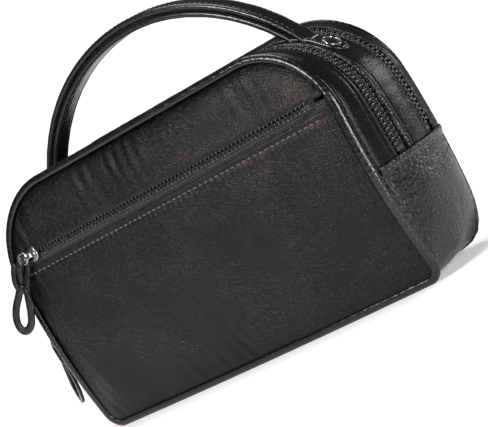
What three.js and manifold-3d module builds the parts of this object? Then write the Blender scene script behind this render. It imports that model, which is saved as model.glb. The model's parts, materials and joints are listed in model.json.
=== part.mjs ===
// Leather wash bag with two zipped compartments, a zipped front pocket and one arched top handle.
// Millimetres. +X runs along the bag, the pocket faces -Y, +Z is up, origin under the base's middle.
import * as THREE from 'three';
import { mergeVertices } from 'three/addons/utils/BufferGeometryUtils.js';
import Module from 'manifold-3d';

const wasm = await Module();
wasm.setup();

// Body of the bag
const LENGTH = 225; // between the end seams
const HEIGHT = 136; // base to the top piping
const DEPTH = 82; // across the crowned middle of the two big panels
const TOP_RADIUS = 43;
const BOTTOM_RADIUS = 9;
const LEATHER = 1.6;
const GAP = 0.4; // clearance between pieces that touch on the real bag
const RIM_DRAW_ENDS = 0.1325; // share of the depth lost at the end rims
const RIM_DRAW_TOP = 0.213; // share of the depth lost at the top and bottom rims
const END_BELLY = 9; // how far the end walls fill out half-way up
const TOP_SAG = 5; // how far the top sinks between the two pipings
const BODY_STEP = 18; // longest straight facet along the outline

// Piping along the two rims
const PIPING_RADIUS = 1.9;
const PIPING_INSET = 2;
const PIPING_Y = DEPTH / 2 - 2;

// Gusset and its two zips
const GUSSET_HALF = DEPTH / 2 - 5.2;
const ZIP_Y = 18; // each main zip's distance from the middle plane
const ZIP_WINDOW = 12; // width of bare tape and teeth between two strips
const CHAIN_WIDTH = 5.6;
const TAPE_UNDER = 3; // tape hidden under each strip
const TAPE_DROP = LEATHER + 0.7; // the tape's outer face below the strips' outer face
const SEAM_Z = 59.5; // where the zipped top meets the lower gusset
const END_BAND_RISE = 5;
const ZIP_LOW_Z = SEAM_Z + 1.2;
const CHAIN_LOW_Z = SEAM_Z + 5;

// Front pocket
const POCKET_ZIP_Z = 101.5;
const POCKET_WINDOW_UP = 2.9;
const POCKET_WINDOW_DOWN = 4.4;
const POCKET_CHAIN_HALF = 99;
const POCKET_SLIDER_X = -93;
const BACKING_Y = 32;

// Sliders and their pulls
const SLIDER_Z = 71;
const RING_RADIUS = 4.4;
const RING_WIRE = 0.75;
const BRIDGE_HEIGHT = 4.2; // centre of the ring's wire above the bag's surface
const LACE_LENGTH = 38;
const LACE_WIDTH = 10.8; // across the loop
const LACE_THICK = 2.4;
const MAIN_PULL_TILT = 8; // degrees the main pulls stand off the end wall
const POCKET_LACE_LEAN = 28; // degrees off the bag's own downward direction

// Handle
const HANDLE_CREST = 180;
const HANDLE_RADIUS = 106.6;
const HANDLE_SHIFT = 5; // the arch leans this far towards +X
const HANDLE_SWEEP = 47.5; // degrees each side of the crest
const NECK_SWEEP = [52, 61]; // the stretch of the same arc that stands on each tongue
const NECK_WIDTH = 10;
const STRAP_WIDTH = 12;
const STRAP_LAYER = 2.4;
const CORE_LAYER = 1.4;
const CORE_WIDTH = 7;
const TONGUE_WIDTH = 19;
const TONGUE_START = 16; // degrees round the top corner
const TONGUE_END = 66;
const RIVET_ANGLE = 50;
const RIVET_RADIUS = 4.4;
const RIVET_POST = 1.4;

// Finishes
const LEATHER_FINISH = { color: 0x2a2726, roughness: 0.48, metalness: 0 };
const GUSSET_FINISH = { color: 0x242226, roughness: 0.5, metalness: 0 };
const LINING_FINISH = { color: 0x3a3a3c, roughness: 0.9, metalness: 0 };
const TAPE_FINISH = { color: 0x1a1b22, roughness: 0.85, metalness: 0 };
const TEETH_FINISH = { color: 0x121214, roughness: 0.3, metalness: 0.1 };
const METAL_FINISH = { color: 0xb8b8ba, roughness: 0.25, metalness: 1 };
const BOARD_FINISH = { color: 0x6b6258, roughness: 0.8, metalness: 0 };

const bag = new THREE.Group();

function addPiece(name, geometry, finish, matrix = new THREE.Matrix4()) {
  const piece = new THREE.Mesh(geometry, new THREE.MeshStandardMaterial(finish));
  piece.name = name;
  piece.applyMatrix4(matrix);
  bag.add(piece);
}

// ---- Outline and softening ----

function arcPoints(centre, radius, start, steps) {
  const points = [];
  for (let step = 0; step <= steps; step += 1) {
    const angle = THREE.MathUtils.degToRad(start + (90 * step) / steps);
    points.push(new THREE.Vector2(
      centre.x + radius * Math.cos(angle), centre.y + radius * Math.sin(angle)));
  }
  return points;
}

const bottomArc = (inset) => arcPoints(
  new THREE.Vector2(LENGTH / 2 - BOTTOM_RADIUS, BOTTOM_RADIUS), BOTTOM_RADIUS - inset, -90, 3);

const topArc = (inset) => arcPoints(
  new THREE.Vector2(LENGTH / 2 - TOP_RADIUS, HEIGHT - TOP_RADIUS), TOP_RADIUS - inset, 0, 7);

function subdivide(points) {
  const fine = [points[0]];
  for (let index = 1; index < points.length; index += 1) {
    const count = Math.ceil(points[index].distanceTo(points[index - 1]) / BODY_STEP);
    for (let part = 1; part <= count; part += 1) {
      fine.push(points[index - 1].clone().lerp(points[index], part / count));
    }
  }
  return fine;
}

const mirrorX = (points) => points.map((point) => new THREE.Vector2(-point.x, point.y)).reverse();

// From the left end's seam, over the top, to the right end's seam.
function topPath(inset, lowZ) {
  const side = new THREE.Vector2(LENGTH / 2 - inset, lowZ);
  const half = [side, ...topArc(inset)];
  return subdivide([...half, ...mirrorX(half)]).reverse();
}

// From the right end's seam, under the base, to the left end's seam.
function lowerPath(inset, highZ) {
  const half = [...bottomArc(inset), new THREE.Vector2(LENGTH / 2 - inset, highZ)];
  return subdivide([...mirrorX(half), ...half]).reverse();
}

// The whole rim, starting and ending at the middle of the base.
function rimPath(inset) {
  const half = [new THREE.Vector2(GAP / 2, inset), ...bottomArc(inset), ...topArc(inset)];
  return subdivide([...half, ...mirrorX(half)]);
}

// Turns a square-cut block into a filled bag: rims draw back, ends belly out, the top sags.
function soften(point) {
  const along = (2 * point.x) / LENGTH;
  const up = (2 * point.z) / HEIGHT - 1;
  const across = Math.max(0, 1 - ((2 * point.y) / DEPTH) ** 2);
  const belly = END_BELLY * along ** 5 * across * (1 - up ** 2);
  const sag = TOP_SAG * across * Math.max(0, 1 - along ** 2) * (point.z / HEIGHT) ** 3;
  const draw = 1 - RIM_DRAW_ENDS * along ** 2 - RIM_DRAW_TOP * up ** 2;
  return new THREE.Vector3(point.x + belly, point.y * draw, point.z - sag);
}

function reshape(geometry, move) {
  const place = geometry.attributes.position;
  const point = new THREE.Vector3();
  for (let index = 0; index < place.count; index += 1) {
    const moved = move(point.fromBufferAttribute(place, index));
    place.setXYZ(index, moved.x, moved.y, moved.z);
  }
  return geometry;
}

// Local frame on the softened surface: X along the travel, Z pointing out of the bag.
function seat(point, travel, sideways) {
  const origin = soften(point);
  const forward = soften(point.clone().add(travel)).sub(origin).normalize();
  const across = soften(point.clone().add(sideways)).sub(origin);
  const outward = forward.clone().cross(across).normalize();
  const frame = new THREE.Matrix4().makeBasis(forward, outward.clone().cross(forward), outward);
  return frame.setPosition(origin);
}

// ---- Joining and cutting ----

function toSolid(geometry) {
  const bare = geometry.clone();
  bare.deleteAttribute('normal');
  bare.deleteAttribute('uv');
  const merged = mergeVertices(bare, 1e-4);
  return new wasm.Manifold(new wasm.Mesh({
    numProp: 3,
    vertProperties: merged.attributes.position.array,
    triVerts: Uint32Array.from(merged.index.array),
  }));
}

function toGeometry(solid) {
  const mesh = solid.getMesh();
  const geometry = new THREE.BufferGeometry();
  geometry.setAttribute('position', new THREE.BufferAttribute(mesh.vertProperties, 3));
  geometry.setIndex(new THREE.BufferAttribute(mesh.triVerts, 1));
  geometry.computeVertexNormals();
  return geometry;
}

const join = (first, second) => toGeometry(toSolid(first).add(toSolid(second)));
const cut = (body, tool) => toGeometry(toSolid(body).subtract(toSolid(tool)));

// ---- Walls: flat sheets filled to the outline, and bands that follow it ----

// A panel standing across the bag, between two heights and two depths, edged by the outline.
function panel({ inset, low = 0, high = HEIGHT, y, half = LENGTH, columns = 10 }) {
  const edge = subdivide([...bottomArc(inset), ...topArc(inset)]);
  const rows = edge.filter((point) => point.y > low + 1 && point.y < high - 1);
  const widthAt = (height) => {
    const next = edge.findIndex((point) => point.y >= height);
    const share = (height - edge[next - 1].y) / (edge[next].y - edge[next - 1].y);
    return edge[next - 1].clone().lerp(edge[next], share);
  };
  if (low > inset) rows.unshift(widthAt(low));
  if (high < HEIGHT - inset) rows.push(widthAt(high));
  const sheet = new THREE.BoxGeometry(2, 2, 2, columns, 1, rows.length - 1);
  return reshape(sheet, (point) => {
    const row = rows[Math.round(((point.z + 1) / 2) * (rows.length - 1))];
    const depth = THREE.MathUtils.lerp(y[0], y[1], (point.y + 1) / 2);
    return soften(new THREE.Vector3(point.x * Math.min(row.x, half), depth, row.y));
  });
}

// A strip that follows the outline, between two paths and two depths.
function band(outer, inner, y, steps) {
  const last = outer.length - 1;
  const block = new THREE.BoxGeometry(2, 2, 2, last, steps, 1);
  return reshape(block, (point) => {
    const index = Math.round(((point.x + 1) / 2) * last);
    const place = point.z > 0 ? outer[index] : inner[index];
    const depth = THREE.MathUtils.lerp(y[0], y[1], (point.y + 1) / 2);
    return soften(new THREE.Vector3(place.x, depth, place.y));
  });
}

// A route whose sections sit exactly on its listed points.
class Route extends THREE.Curve {
  constructor(points) {
    super();
    this.points = points;
  }

  getPoint(share) {
    const place = THREE.MathUtils.clamp(share, 0, 1) * (this.points.length - 1);
    const first = Math.min(Math.floor(place), this.points.length - 2);
    return this.points[first].clone().lerp(this.points[first + 1], place - first);
  }

  getTangent(share) {
    const index = Math.round(share * (this.points.length - 1));
    const before = this.points[Math.max(index - 1, 0)];
    const here = this.points[index];
    const after = this.points[Math.min(index + 1, this.points.length - 1)];
    const arriving = here.clone().sub(before).normalize();
    return after.clone().sub(here).normalize().add(arriving).normalize();
  }

  getUtoTmapping(share) {
    return share;
  }
}

function sweep(section, points) {
  const route = new Route(points);
  return new THREE.ExtrudeGeometry(section, {
    steps: points.length - 1, extrudePath: route, bevelEnabled: false,
  });
}

function polygon(radius, sides) {
  const corners = [];
  for (let side = 0; side < sides; side += 1) {
    const angle = (2 * Math.PI * side) / sides;
    corners.push(new THREE.Vector2(radius * Math.cos(angle), radius * Math.sin(angle)));
  }
  return new THREE.Shape(corners);
}

function addPanels() {
  const face = DEPTH / 2;
  const inset = PIPING_INSET + PIPING_RADIUS + GAP;
  const front = [-face, -face + LEATHER];
  addPiece('front_upper_panel', panel({
    inset, low: POCKET_ZIP_Z + POCKET_WINDOW_UP, y: front,
  }), LEATHER_FINISH);
  addPiece('front_pocket_panel', panel({
    inset, high: POCKET_ZIP_Z - POCKET_WINDOW_DOWN, y: front,
  }), LEATHER_FINISH);
  addPiece('front_backing', panel({
    inset, y: [-BACKING_Y, -BACKING_Y + 1.2], columns: 8,
  }), LINING_FINISH);
  addPiece('front_lining', panel({
    inset, y: [-BACKING_Y + 1.7, -BACKING_Y + 2.5], columns: 6,
  }), LINING_FINISH);
  addPiece('back_panel', panel({ inset, y: [face - LEATHER, face] }), LEATHER_FINISH);
  addPiece('back_lining', panel({
    inset, y: [face - LEATHER - 1.3, face - LEATHER - 0.5], columns: 6,
  }), LINING_FINISH);
  addPiece('divider', panel({ inset: 5.4, y: [-0.8, 0.8], columns: 6 }), LINING_FINISH);
}

function addPiping() {
  const rim = rimPath(PIPING_INSET);
  for (const [name, y] of [['front_piping', -PIPING_Y], ['back_piping', PIPING_Y]]) {
    const route = rim.map((point) => soften(new THREE.Vector3(point.x, y, point.y)));
    addPiece(name, sweep(polygon(PIPING_RADIUS, 8), route), LEATHER_FINISH);
  }
}

const rivetSeat = (side) => {
  const angle = THREE.MathUtils.degToRad(RIVET_ANGLE);
  const point = new THREE.Vector3(
    side * (LENGTH / 2 - TOP_RADIUS + TOP_RADIUS * Math.sin(angle)), 0,
    HEIGHT - TOP_RADIUS + TOP_RADIUS * Math.cos(angle));
  const travel = new THREE.Vector3(Math.cos(angle), 0, -side * Math.sin(angle));
  return seat(point, travel, new THREE.Vector3(0, 1, 0));
};

function rivetHole(side) {
  const drill = new THREE.CylinderGeometry(RIVET_POST + GAP, RIVET_POST + GAP, 20, 12);
  drill.rotateX(Math.PI / 2);
  return drill.applyMatrix4(rivetSeat(side));
}

function addGusset() {
  const outer = topPath(0, ZIP_LOW_Z);
  const inner = topPath(LEATHER, ZIP_LOW_Z);
  const inside = ZIP_Y - ZIP_WINDOW / 2;
  const outside = ZIP_Y + ZIP_WINDOW / 2;
  let centre = band(outer, inner, [-inside, inside], 4);
  centre = cut(cut(centre, rivetHole(1)), rivetHole(-1));
  addPiece('top_front_strip', band(outer, inner, [-GUSSET_HALF, -outside], 1), GUSSET_FINISH);
  addPiece('top_centre_strip', centre, GUSSET_FINISH);
  addPiece('top_back_strip', band(outer, inner, [outside, GUSSET_HALF], 1), GUSSET_FINISH);
  const lower = band(lowerPath(0, SEAM_Z), lowerPath(LEATHER, SEAM_Z), [-GUSSET_HALF, GUSSET_HALF], 6);
  addPiece('lower_gusset', lower, GUSSET_FINISH);
  const liningInset = 4;
  const lining = band(
    lowerPath(liningInset, SEAM_Z), lowerPath(liningInset + 0.8, SEAM_Z), [-29, 29], 4);
  addPiece('gusset_lining', lining, LINING_FINISH);
}

// Folded band over the joint between the zipped top and the lower gusset.
function addEndBands() {
  for (const [name, side] of [['left_end_band', -1], ['right_end_band', 1]]) {
    const column = (inset) => [
      new THREE.Vector2(LENGTH / 2 - inset, SEAM_Z + 1),
      new THREE.Vector2(LENGTH / 2 - inset, SEAM_Z - END_BAND_RISE + 1),
    ];
    const strip = band(column(-GAP - 1), column(-GAP), [-GUSSET_HALF, GUSSET_HALF], 6);
    if (side < 0) strip.rotateZ(Math.PI);
    addPiece(name, strip, GUSSET_FINISH);
  }
}

function addBaseBoard() {
  const board = new THREE.BoxGeometry(190, 44, 1.2);
  board.translate(0, 0, LEATHER + GAP + 0.6);
  addPiece('base_board', board, BOARD_FINISH);
}

// ---- Zips ----

function addMainZip(name, side) {
  const tape = [topPath(TAPE_DROP, ZIP_LOW_Z), topPath(TAPE_DROP + 0.8, ZIP_LOW_Z)];
  const teeth = [topPath(1.2, CHAIN_LOW_Z), topPath(TAPE_DROP + 1.2, CHAIN_LOW_Z)];
  const near = CHAIN_WIDTH / 2 + 0.6;
  const far = ZIP_WINDOW / 2 + TAPE_UNDER;
  const across = (low, high) => [side * ZIP_Y + low, side * ZIP_Y + high];
  const lower = side > 0 ? 'inner' : 'outer';
  const upper = side > 0 ? 'outer' : 'inner';
  addPiece(`${name}_zip_${lower}_tape`, band(...tape, across(-far, -near), 1), TAPE_FINISH);
  addPiece(`${name}_zip_${upper}_tape`, band(...tape, across(near, far), 1), TAPE_FINISH);
  const chain = band(...teeth, across(-CHAIN_WIDTH / 2, CHAIN_WIDTH / 2), 1);
  addPiece(`${name}_zip_chain`, chain, TEETH_FINISH);
  for (const [end, way] of [['left', -1], ['right', 1]]) {
    const point = new THREE.Vector3(way * (LENGTH / 2), side * ZIP_Y, CHAIN_LOW_Z - 1.6);
    const stop = new THREE.BoxGeometry(2, CHAIN_WIDTH - 0.6, 1.6);
    stop.translate(0, 0, -1.9);
    const place = seat(point, new THREE.Vector3(0, 0, way > 0 ? -1 : 1), new THREE.Vector3(0, 1, 0));
    addPiece(`${name}_zip_${end}_stop`, stop, METAL_FINISH, place);
  }
}

function addPocketZip() {
  const face = DEPTH / 2 - LEATHER - 0.6;
  const tape = [-face, -face + 0.8];
  const near = 2 + GAP;
  const half = POCKET_CHAIN_HALF + 3;
  const low = POCKET_ZIP_Z - POCKET_WINDOW_DOWN - TAPE_UNDER;
  const high = POCKET_ZIP_Z + POCKET_WINDOW_UP + TAPE_UNDER;
  const upper = panel({ inset: 5, low: POCKET_ZIP_Z + near, high, y: tape, half });
  const lower = panel({ inset: 5, low, high: POCKET_ZIP_Z - near, y: tape, half });
  const chain = panel({
    inset: 5, low: POCKET_ZIP_Z - 2, high: POCKET_ZIP_Z + 2,
    y: [-face - 1.4, -face + 0.8], half: POCKET_CHAIN_HALF,
  });
  addPiece('pocket_zip_upper_tape', upper, TAPE_FINISH);
  addPiece('pocket_zip_lower_tape', lower, TAPE_FINISH);
  addPiece('pocket_zip_chain', chain, TEETH_FINISH);
  const patch = new THREE.BoxGeometry(10, 5.4, 1.4);
  patch.translate(0, 0, 1.1);
  addPiece('pocket_corner_patch', patch, LEATHER_FINISH, pocketSeat(POCKET_CHAIN_HALF - 2));
}

const pocketSeat = (x) => seat(
  new THREE.Vector3(x, -DEPTH / 2, POCKET_ZIP_Z), new THREE.Vector3(1, 0, 0),
  new THREE.Vector3(0, 0, 1));

const mainSeat = (side) => seat(
  new THREE.Vector3(-LENGTH / 2, side * ZIP_Y, SLIDER_Z), new THREE.Vector3(0, 0, 1),
  new THREE.Vector3(0, 1, 0));

// ---- Sliders and pulls, in a seat's frame ----

function sliderBody() {
  const plan = new THREE.Shape([
    new THREE.Vector2(-5.5, -2.6), new THREE.Vector2(2.5, -4), new THREE.Vector2(5, -3.4),
    new THREE.Vector2(5.6, 0), new THREE.Vector2(5, 3.4), new THREE.Vector2(2.5, 4),
    new THREE.Vector2(-5.5, 2.6),
  ]);
  const plate = new THREE.ExtrudeGeometry(plan, { depth: 1.6, bevelEnabled: false });
  plate.translate(0, 0, 0.1);
  const arch = new THREE.Shape([
    new THREE.Vector2(-4, 1.5), new THREE.Vector2(4, 1.5), new THREE.Vector2(3, 5.2),
    new THREE.Vector2(1.4, 6.3), new THREE.Vector2(-1.4, 6.3), new THREE.Vector2(-3, 5.2),
  ]);
  arch.holes.push(new THREE.Path(polygon(1.35, 10).getPoints().map(
    (corner) => corner.add(new THREE.Vector2(0, BRIDGE_HEIGHT)))));
  const bridge = new THREE.ExtrudeGeometry(arch, { depth: 2.6, bevelEnabled: false });
  bridge.rotateX(Math.PI / 2);
  bridge.translate(0, 1.3, 0);
  return join(plate, bridge);
}

function pullRing() {
  const ring = new THREE.TorusGeometry(RING_RADIUS, RING_WIRE, 6, 20);
  return ring.translate(-RING_RADIUS, 0, BRIDGE_HEIGHT);
}

// Flat lace folded into a loop and knotted on the ring, hanging along the lean direction.
function pullLace(lean) {
  const loop = new THREE.Shape();
  const [middle, half] = [-LACE_LENGTH / 2, LACE_LENGTH / 2];
  loop.absellipse(0, middle, LACE_WIDTH / 2, half, 0, 2 * Math.PI, false);
  const hole = new THREE.Path();
  hole.absellipse(0, middle - 1, LACE_WIDTH / 2 - 2.2, half - 4, 0, 2 * Math.PI, true);
  loop.holes.push(hole);
  const strap = new THREE.ExtrudeGeometry(loop, {
    depth: LACE_THICK, bevelEnabled: false, curveSegments: 8,
  });
  strap.translate(0, 0, -LACE_THICK / 2);
  const knot = new THREE.BoxGeometry(3.6, 5.6, 4.4);
  const wire = new THREE.CylinderGeometry(1.5, 1.5, 8, 10);
  wire.rotateZ(Math.PI / 2);
  const keeper = cut(knot, wire);
  strap.translate(0, -1.6, 0);
  const hanging = join(keeper, strap);
  hanging.translate(0, -RING_RADIUS, 0);
  hanging.rotateZ(-THREE.MathUtils.degToRad(lean));
  return hanging.translate(-RING_RADIUS, 0, BRIDGE_HEIGHT);
}

// Turns a pull outwards about its slider's bridge.
function lift(geometry, tilt) {
  geometry.translate(0, 0, -BRIDGE_HEIGHT);
  geometry.rotateY(THREE.MathUtils.degToRad(tilt));
  return geometry.translate(0, 0, BRIDGE_HEIGHT);
}

function addSlider(name, place, lean, tilt) {
  addPiece(`${name}_slider`, sliderBody(), METAL_FINISH, place);
  addPiece(`${name}_pull_ring`, lift(pullRing(), tilt), METAL_FINISH, place);
  addPiece(`${name}_pull_lace`, lift(pullLace(lean), tilt), LEATHER_FINISH, place);
}

// ---- Handle ----

function strap(width, layer, radius, from = -HANDLE_SWEEP, to = HANDLE_SWEEP, steps = 16) {
  const chamfer = Math.min(layer, 1.6) / 3;
  const [side, top] = [width / 2, layer / 2];
  const section = new THREE.Shape([
    new THREE.Vector2(-side + chamfer, -top), new THREE.Vector2(side - chamfer, -top),
    new THREE.Vector2(side, -top + chamfer), new THREE.Vector2(side, top - chamfer),
    new THREE.Vector2(side - chamfer, top), new THREE.Vector2(-side + chamfer, top),
    new THREE.Vector2(-side, top - chamfer), new THREE.Vector2(-side, -top + chamfer),
  ]);
  const points = [];
  for (let step = 0; step <= steps; step += 1) {
    const turn = THREE.MathUtils.degToRad(THREE.MathUtils.lerp(from, to, step / steps));
    points.push(new THREE.Vector3(
      HANDLE_SHIFT + radius * Math.sin(turn), 0,
      HANDLE_CREST - HANDLE_RADIUS + radius * Math.cos(turn)));
  }
  return sweep(section, points);
}

function addHandle() {
  const outer = HANDLE_RADIUS - STRAP_LAYER / 2;
  const core = outer - STRAP_LAYER / 2 - GAP - CORE_LAYER / 2;
  const inner = core - CORE_LAYER / 2 - GAP - STRAP_LAYER / 2;
  addPiece('handle_outer_strap', strap(STRAP_WIDTH, STRAP_LAYER, outer), LEATHER_FINISH);
  addPiece('handle_core', strap(CORE_WIDTH, CORE_LAYER, core), BOARD_FINISH);
  addPiece('handle_inner_strap', strap(STRAP_WIDTH, STRAP_LAYER, inner), LEATHER_FINISH);
}

// Flat end of the handle, lying round the top corner over the centre strip, with the strap's neck.
function tongue(side) {
  const arc = (lift) => {
    const points = [];
    for (let angle = TONGUE_START; angle <= TONGUE_END; angle += 6) {
      const turn = THREE.MathUtils.degToRad(angle);
      const radius = TOP_RADIUS + lift;
      points.push(new THREE.Vector2(
        LENGTH / 2 - TOP_RADIUS + radius * Math.sin(turn),
        HEIGHT - TOP_RADIUS + radius * Math.cos(turn)));
    }
    return points;
  };
  const plate = band(arc(GAP + 2), arc(GAP), [-TONGUE_WIDTH / 2, TONGUE_WIDTH / 2], 2);
  if (side < 0) plate.rotateZ(Math.PI);
  const thickness = 2 * STRAP_LAYER + CORE_LAYER + 2 * GAP;
  const ends = NECK_SWEEP.map((angle) => side * angle);
  const neck = strap(NECK_WIDTH, thickness, HANDLE_RADIUS - thickness / 2, ...ends, 2);
  const clear = band(topPath(-GAP, ZIP_LOW_Z), topPath(14, ZIP_LOW_Z), [-15, 15], 2);
  return cut(join(plate, cut(neck, clear)), rivetHole(side));
}

function addRivets() {
  const cap = (points) => new THREE.LatheGeometry(
    points.map(([radius, height]) => new THREE.Vector2(radius, height)), 16).rotateX(Math.PI / 2);
  const head = cap([
    [0, -4], [RIVET_POST, -4], [RIVET_POST, 2.9], [RIVET_RADIUS - 0.5, 2.9], [RIVET_RADIUS, 3.3],
    [RIVET_RADIUS - 0.6, 4], [RIVET_RADIUS - 1.8, 4.1], [RIVET_RADIUS - 2.3, 3.6], [0, 3.6],
  ]);
  const washer = cap([
    [RIVET_POST + 0.3, -3.4], [RIVET_RADIUS, -3.4], [RIVET_RADIUS, -2.4],
    [RIVET_POST + 0.3, -2.4], [RIVET_POST + 0.3, -3.4],
  ]);
  for (const [end, side] of [['left', -1], ['right', 1]]) {
    addPiece(`handle_${end}_rivet`, head.clone(), METAL_FINISH, rivetSeat(side));
    addPiece(`handle_${end}_rivet_washer`, washer.clone(), METAL_FINISH, rivetSeat(side));
    addPiece(`handle_${end}_tongue`, tongue(side), LEATHER_FINISH);
  }
}

addPanels();
addPiping();
addGusset();
addEndBands();
addBaseBoard();
addMainZip('front', -1);
addMainZip('rear', 1);
addPocketZip();
addSlider('front', mainSeat(-1), 90, MAIN_PULL_TILT);
addSlider('rear', mainSeat(1), 90, MAIN_PULL_TILT);
addSlider('pocket', pocketSeat(POCKET_SLIDER_X), POCKET_LACE_LEAN, 0);
addHandle();
addRivets();

export default bag;
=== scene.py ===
"""Looks of a leather wash bag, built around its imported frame.

Shapes are worked out in millimetres in the frame's own axes, and each mesh is turned into metres
as it is made. "travel" runs along the bag's outline from the middle of the base, first towards +X;
"across" is the depth Y; "out" is the height above the outline.
"""

import json
import math

import bmesh
import bpy
import numpy as np
from mathutils import Matrix, Vector


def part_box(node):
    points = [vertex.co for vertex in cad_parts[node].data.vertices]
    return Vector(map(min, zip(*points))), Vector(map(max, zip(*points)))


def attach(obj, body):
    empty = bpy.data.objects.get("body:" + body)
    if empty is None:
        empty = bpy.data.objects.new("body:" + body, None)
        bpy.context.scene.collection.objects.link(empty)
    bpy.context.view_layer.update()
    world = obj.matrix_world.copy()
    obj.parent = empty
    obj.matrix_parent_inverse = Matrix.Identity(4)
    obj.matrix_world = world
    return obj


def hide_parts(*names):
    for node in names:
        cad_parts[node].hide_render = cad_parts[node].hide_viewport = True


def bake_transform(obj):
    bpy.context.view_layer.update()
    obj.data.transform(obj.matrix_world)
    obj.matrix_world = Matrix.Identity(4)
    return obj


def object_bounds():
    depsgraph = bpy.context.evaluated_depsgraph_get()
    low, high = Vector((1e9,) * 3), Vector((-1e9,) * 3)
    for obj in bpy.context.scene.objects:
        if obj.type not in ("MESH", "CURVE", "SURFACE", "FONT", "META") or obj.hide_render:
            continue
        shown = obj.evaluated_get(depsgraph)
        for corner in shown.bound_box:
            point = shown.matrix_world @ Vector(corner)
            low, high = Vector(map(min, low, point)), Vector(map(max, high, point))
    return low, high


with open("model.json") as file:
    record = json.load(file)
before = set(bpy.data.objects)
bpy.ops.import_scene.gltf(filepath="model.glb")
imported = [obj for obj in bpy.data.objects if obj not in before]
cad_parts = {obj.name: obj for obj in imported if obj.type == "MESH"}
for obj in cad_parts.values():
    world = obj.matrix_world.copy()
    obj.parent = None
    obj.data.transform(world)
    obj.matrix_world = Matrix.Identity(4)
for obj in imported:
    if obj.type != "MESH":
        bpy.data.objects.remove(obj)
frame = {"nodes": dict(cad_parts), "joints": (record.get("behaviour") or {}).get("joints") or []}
cad_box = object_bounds()

MM = 0.001
JOINTS = {joint["name"]: joint for joint in frame["joints"]}

# Body of the bag and the softening of its shape, as the frame was drawn
LENGTH = 225.0
HEIGHT = 136.0
DEPTH = 82.0
TOP_RADIUS = 43.0
BOTTOM_RADIUS = 9.0
RIM_DRAW_ENDS = 0.1325
RIM_DRAW_TOP = 0.213
END_BELLY = 9.0
TOP_SAG = 5.0
LEATHER = 1.6
ARC_STEPS = 61

# Rear bottom corners, for looks only: how far they tuck in, over what reach and between what depths
REAR_TUCK = 3.6
TUCK_REACH = 14.0
TUCK_DEPTHS = (-8.0, 36.0)

# Big panels: where their edges lie inside the outline, how far and over what distance they roll in
# beside the piping, and the seeds of their relief
PANEL_INSET = 3.0
FRONT_ROLL = (3.8, 2.8)
REAR_ROLL = (3.2, 2.0)
FRONT_SEED = 3
REAR_SEED = 11

# Piping and gusset
PIPING_RADIUS = 2.05
PIPING_INSET = 1.9
PIPING_Y = DEPTH / 2 - 1.5
STRIP_RIM = 38.0
STRIP_STEP = 0.8
GUSSET_STEP = 0.9
EDGE_DIVE = 1.9
EDGE_DIVE_REACH = 0.9
FOLD_RADIUS = 0.8
BAND_STITCH_IN = 2.9
BAND_STITCH_PITCH = 3.1
BAND_STITCH_HALF = 33.5
LINING_DEEP = 4.0

# Main zips
ZIP_Y = 18.0
WINDOW = 12.0
TAPE_DROP = 2.3
TAPE_THICK = 0.8
TAPE_NEAR = 1.6
TAPE_FAR = 9.0
TOOTH_PITCH = 2.6
TOOTH_DROP = 0.65
CORE_HALF = 1.9
CORE_TOP = -1.55
CORE_BOTTOM = -2.4

# Front pocket
POCKET_EDGE_UP = 1.0
POCKET_EDGE_DOWN = 5.2
POCKET_STITCH_DROP = 3.6
POCKET_STITCH_PITCH = 3.5
POCKET_STITCH_HALF = 100.0
POCKET_TOOTH_PITCH = 2.5
POCKET_TAPE_DROP = 1.1
POCKET_TAPE_NEAR = 0.9
POCKET_TAPE_UP = 5.9
POCKET_TAPE_DOWN = 7.4
POCKET_TAPE_PAST = 9.0

# Sliders, pulls and handle
BRIDGE_HEIGHT = 4.2
BRIDGE_HALF = 3.6
BRIDGE_FOOT = 1.5
BRIDGE_ARCH = 4.2
RING_RADIUS = 3.1
RING_WIRE = 0.62
PULL_TILT = 8.0
LACE_DRAWN = 38.0
MAIN_LACE = 44.0
POCKET_LACE = 36.5
HANDLE_RADIUS = 106.6
HANDLE_SHIFT = 5.0
STRAP_WIDTH = 12.0
STRAP_LAYER = 3.3
STRAP_GROOVE = 0.4
STRAP_CHANNEL_IN = 2.1
OUTER_STRAP_ENDS = (-55.5, 60.0)
INNER_STRAP_ENDS = (-52.5, 57.0)
STRAP_STITCH_ENDS = (-50.0, 55.0)
STRAP_STITCH_PITCH = 3.0
TONGUE_WIDTH = 15.0
TONGUE_ENDS = (15.0, 60.5)
TONGUE_TIP = 7.0
RIVET_ANGLE = 50.0

SIDEWAYS = np.array([0.0, 1.0, 0.0])
OUTWARD = np.array([0.0, 0.0, 1.0])

# Distances in from a turned edge at which a surface has points
FINE_ENDS = np.array([0.0, 0.06, 0.2, 0.42, 0.7, 1.05, 1.5])


def box_mm(node):
    """Lowest and highest corner of a CAD node, in millimetres."""
    low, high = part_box(node)
    return np.array(low) / MM, np.array(high) / MM


def middle_mm(node):
    """Middle of a CAD node's box, in millimetres."""
    low, high = box_mm(node)
    return (low + high) / 2


SEAM_Z = box_mm("lower_gusset")[1][2]
POCKET_Z = JOINTS["pocket_zip_slide"]["pos_m"][2] / MM
CREST = box_mm("handle_outer_strap")[1][2]
CHAIN_LOW = box_mm("front_zip_chain")[0][2]
SLIDER_Z = middle_mm("front_slider")[2]
POCKET_SLIDER_X = middle_mm("pocket_slider")[0]
POCKET_CHAIN_HALF = box_mm("pocket_zip_chain")[1][0]


# ---- Numbers over whole arrays ----


def stacked(*values):
    """Values as the last axis of one array, each spread to the shape of the widest."""
    return np.stack(np.broadcast_arrays(*values), axis=-1)


def grid_of(rows, columns):
    """The (row value, column value) of every place on a grid."""
    return np.stack(np.meshgrid(rows, columns, indexing="ij"), axis=-1)


def unit(vectors):
    return vectors / np.linalg.norm(vectors, axis=-1, keepdims=True)


def full_turn(steps):
    return np.linspace(0, 2 * math.pi, steps, endpoint=False)


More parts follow.
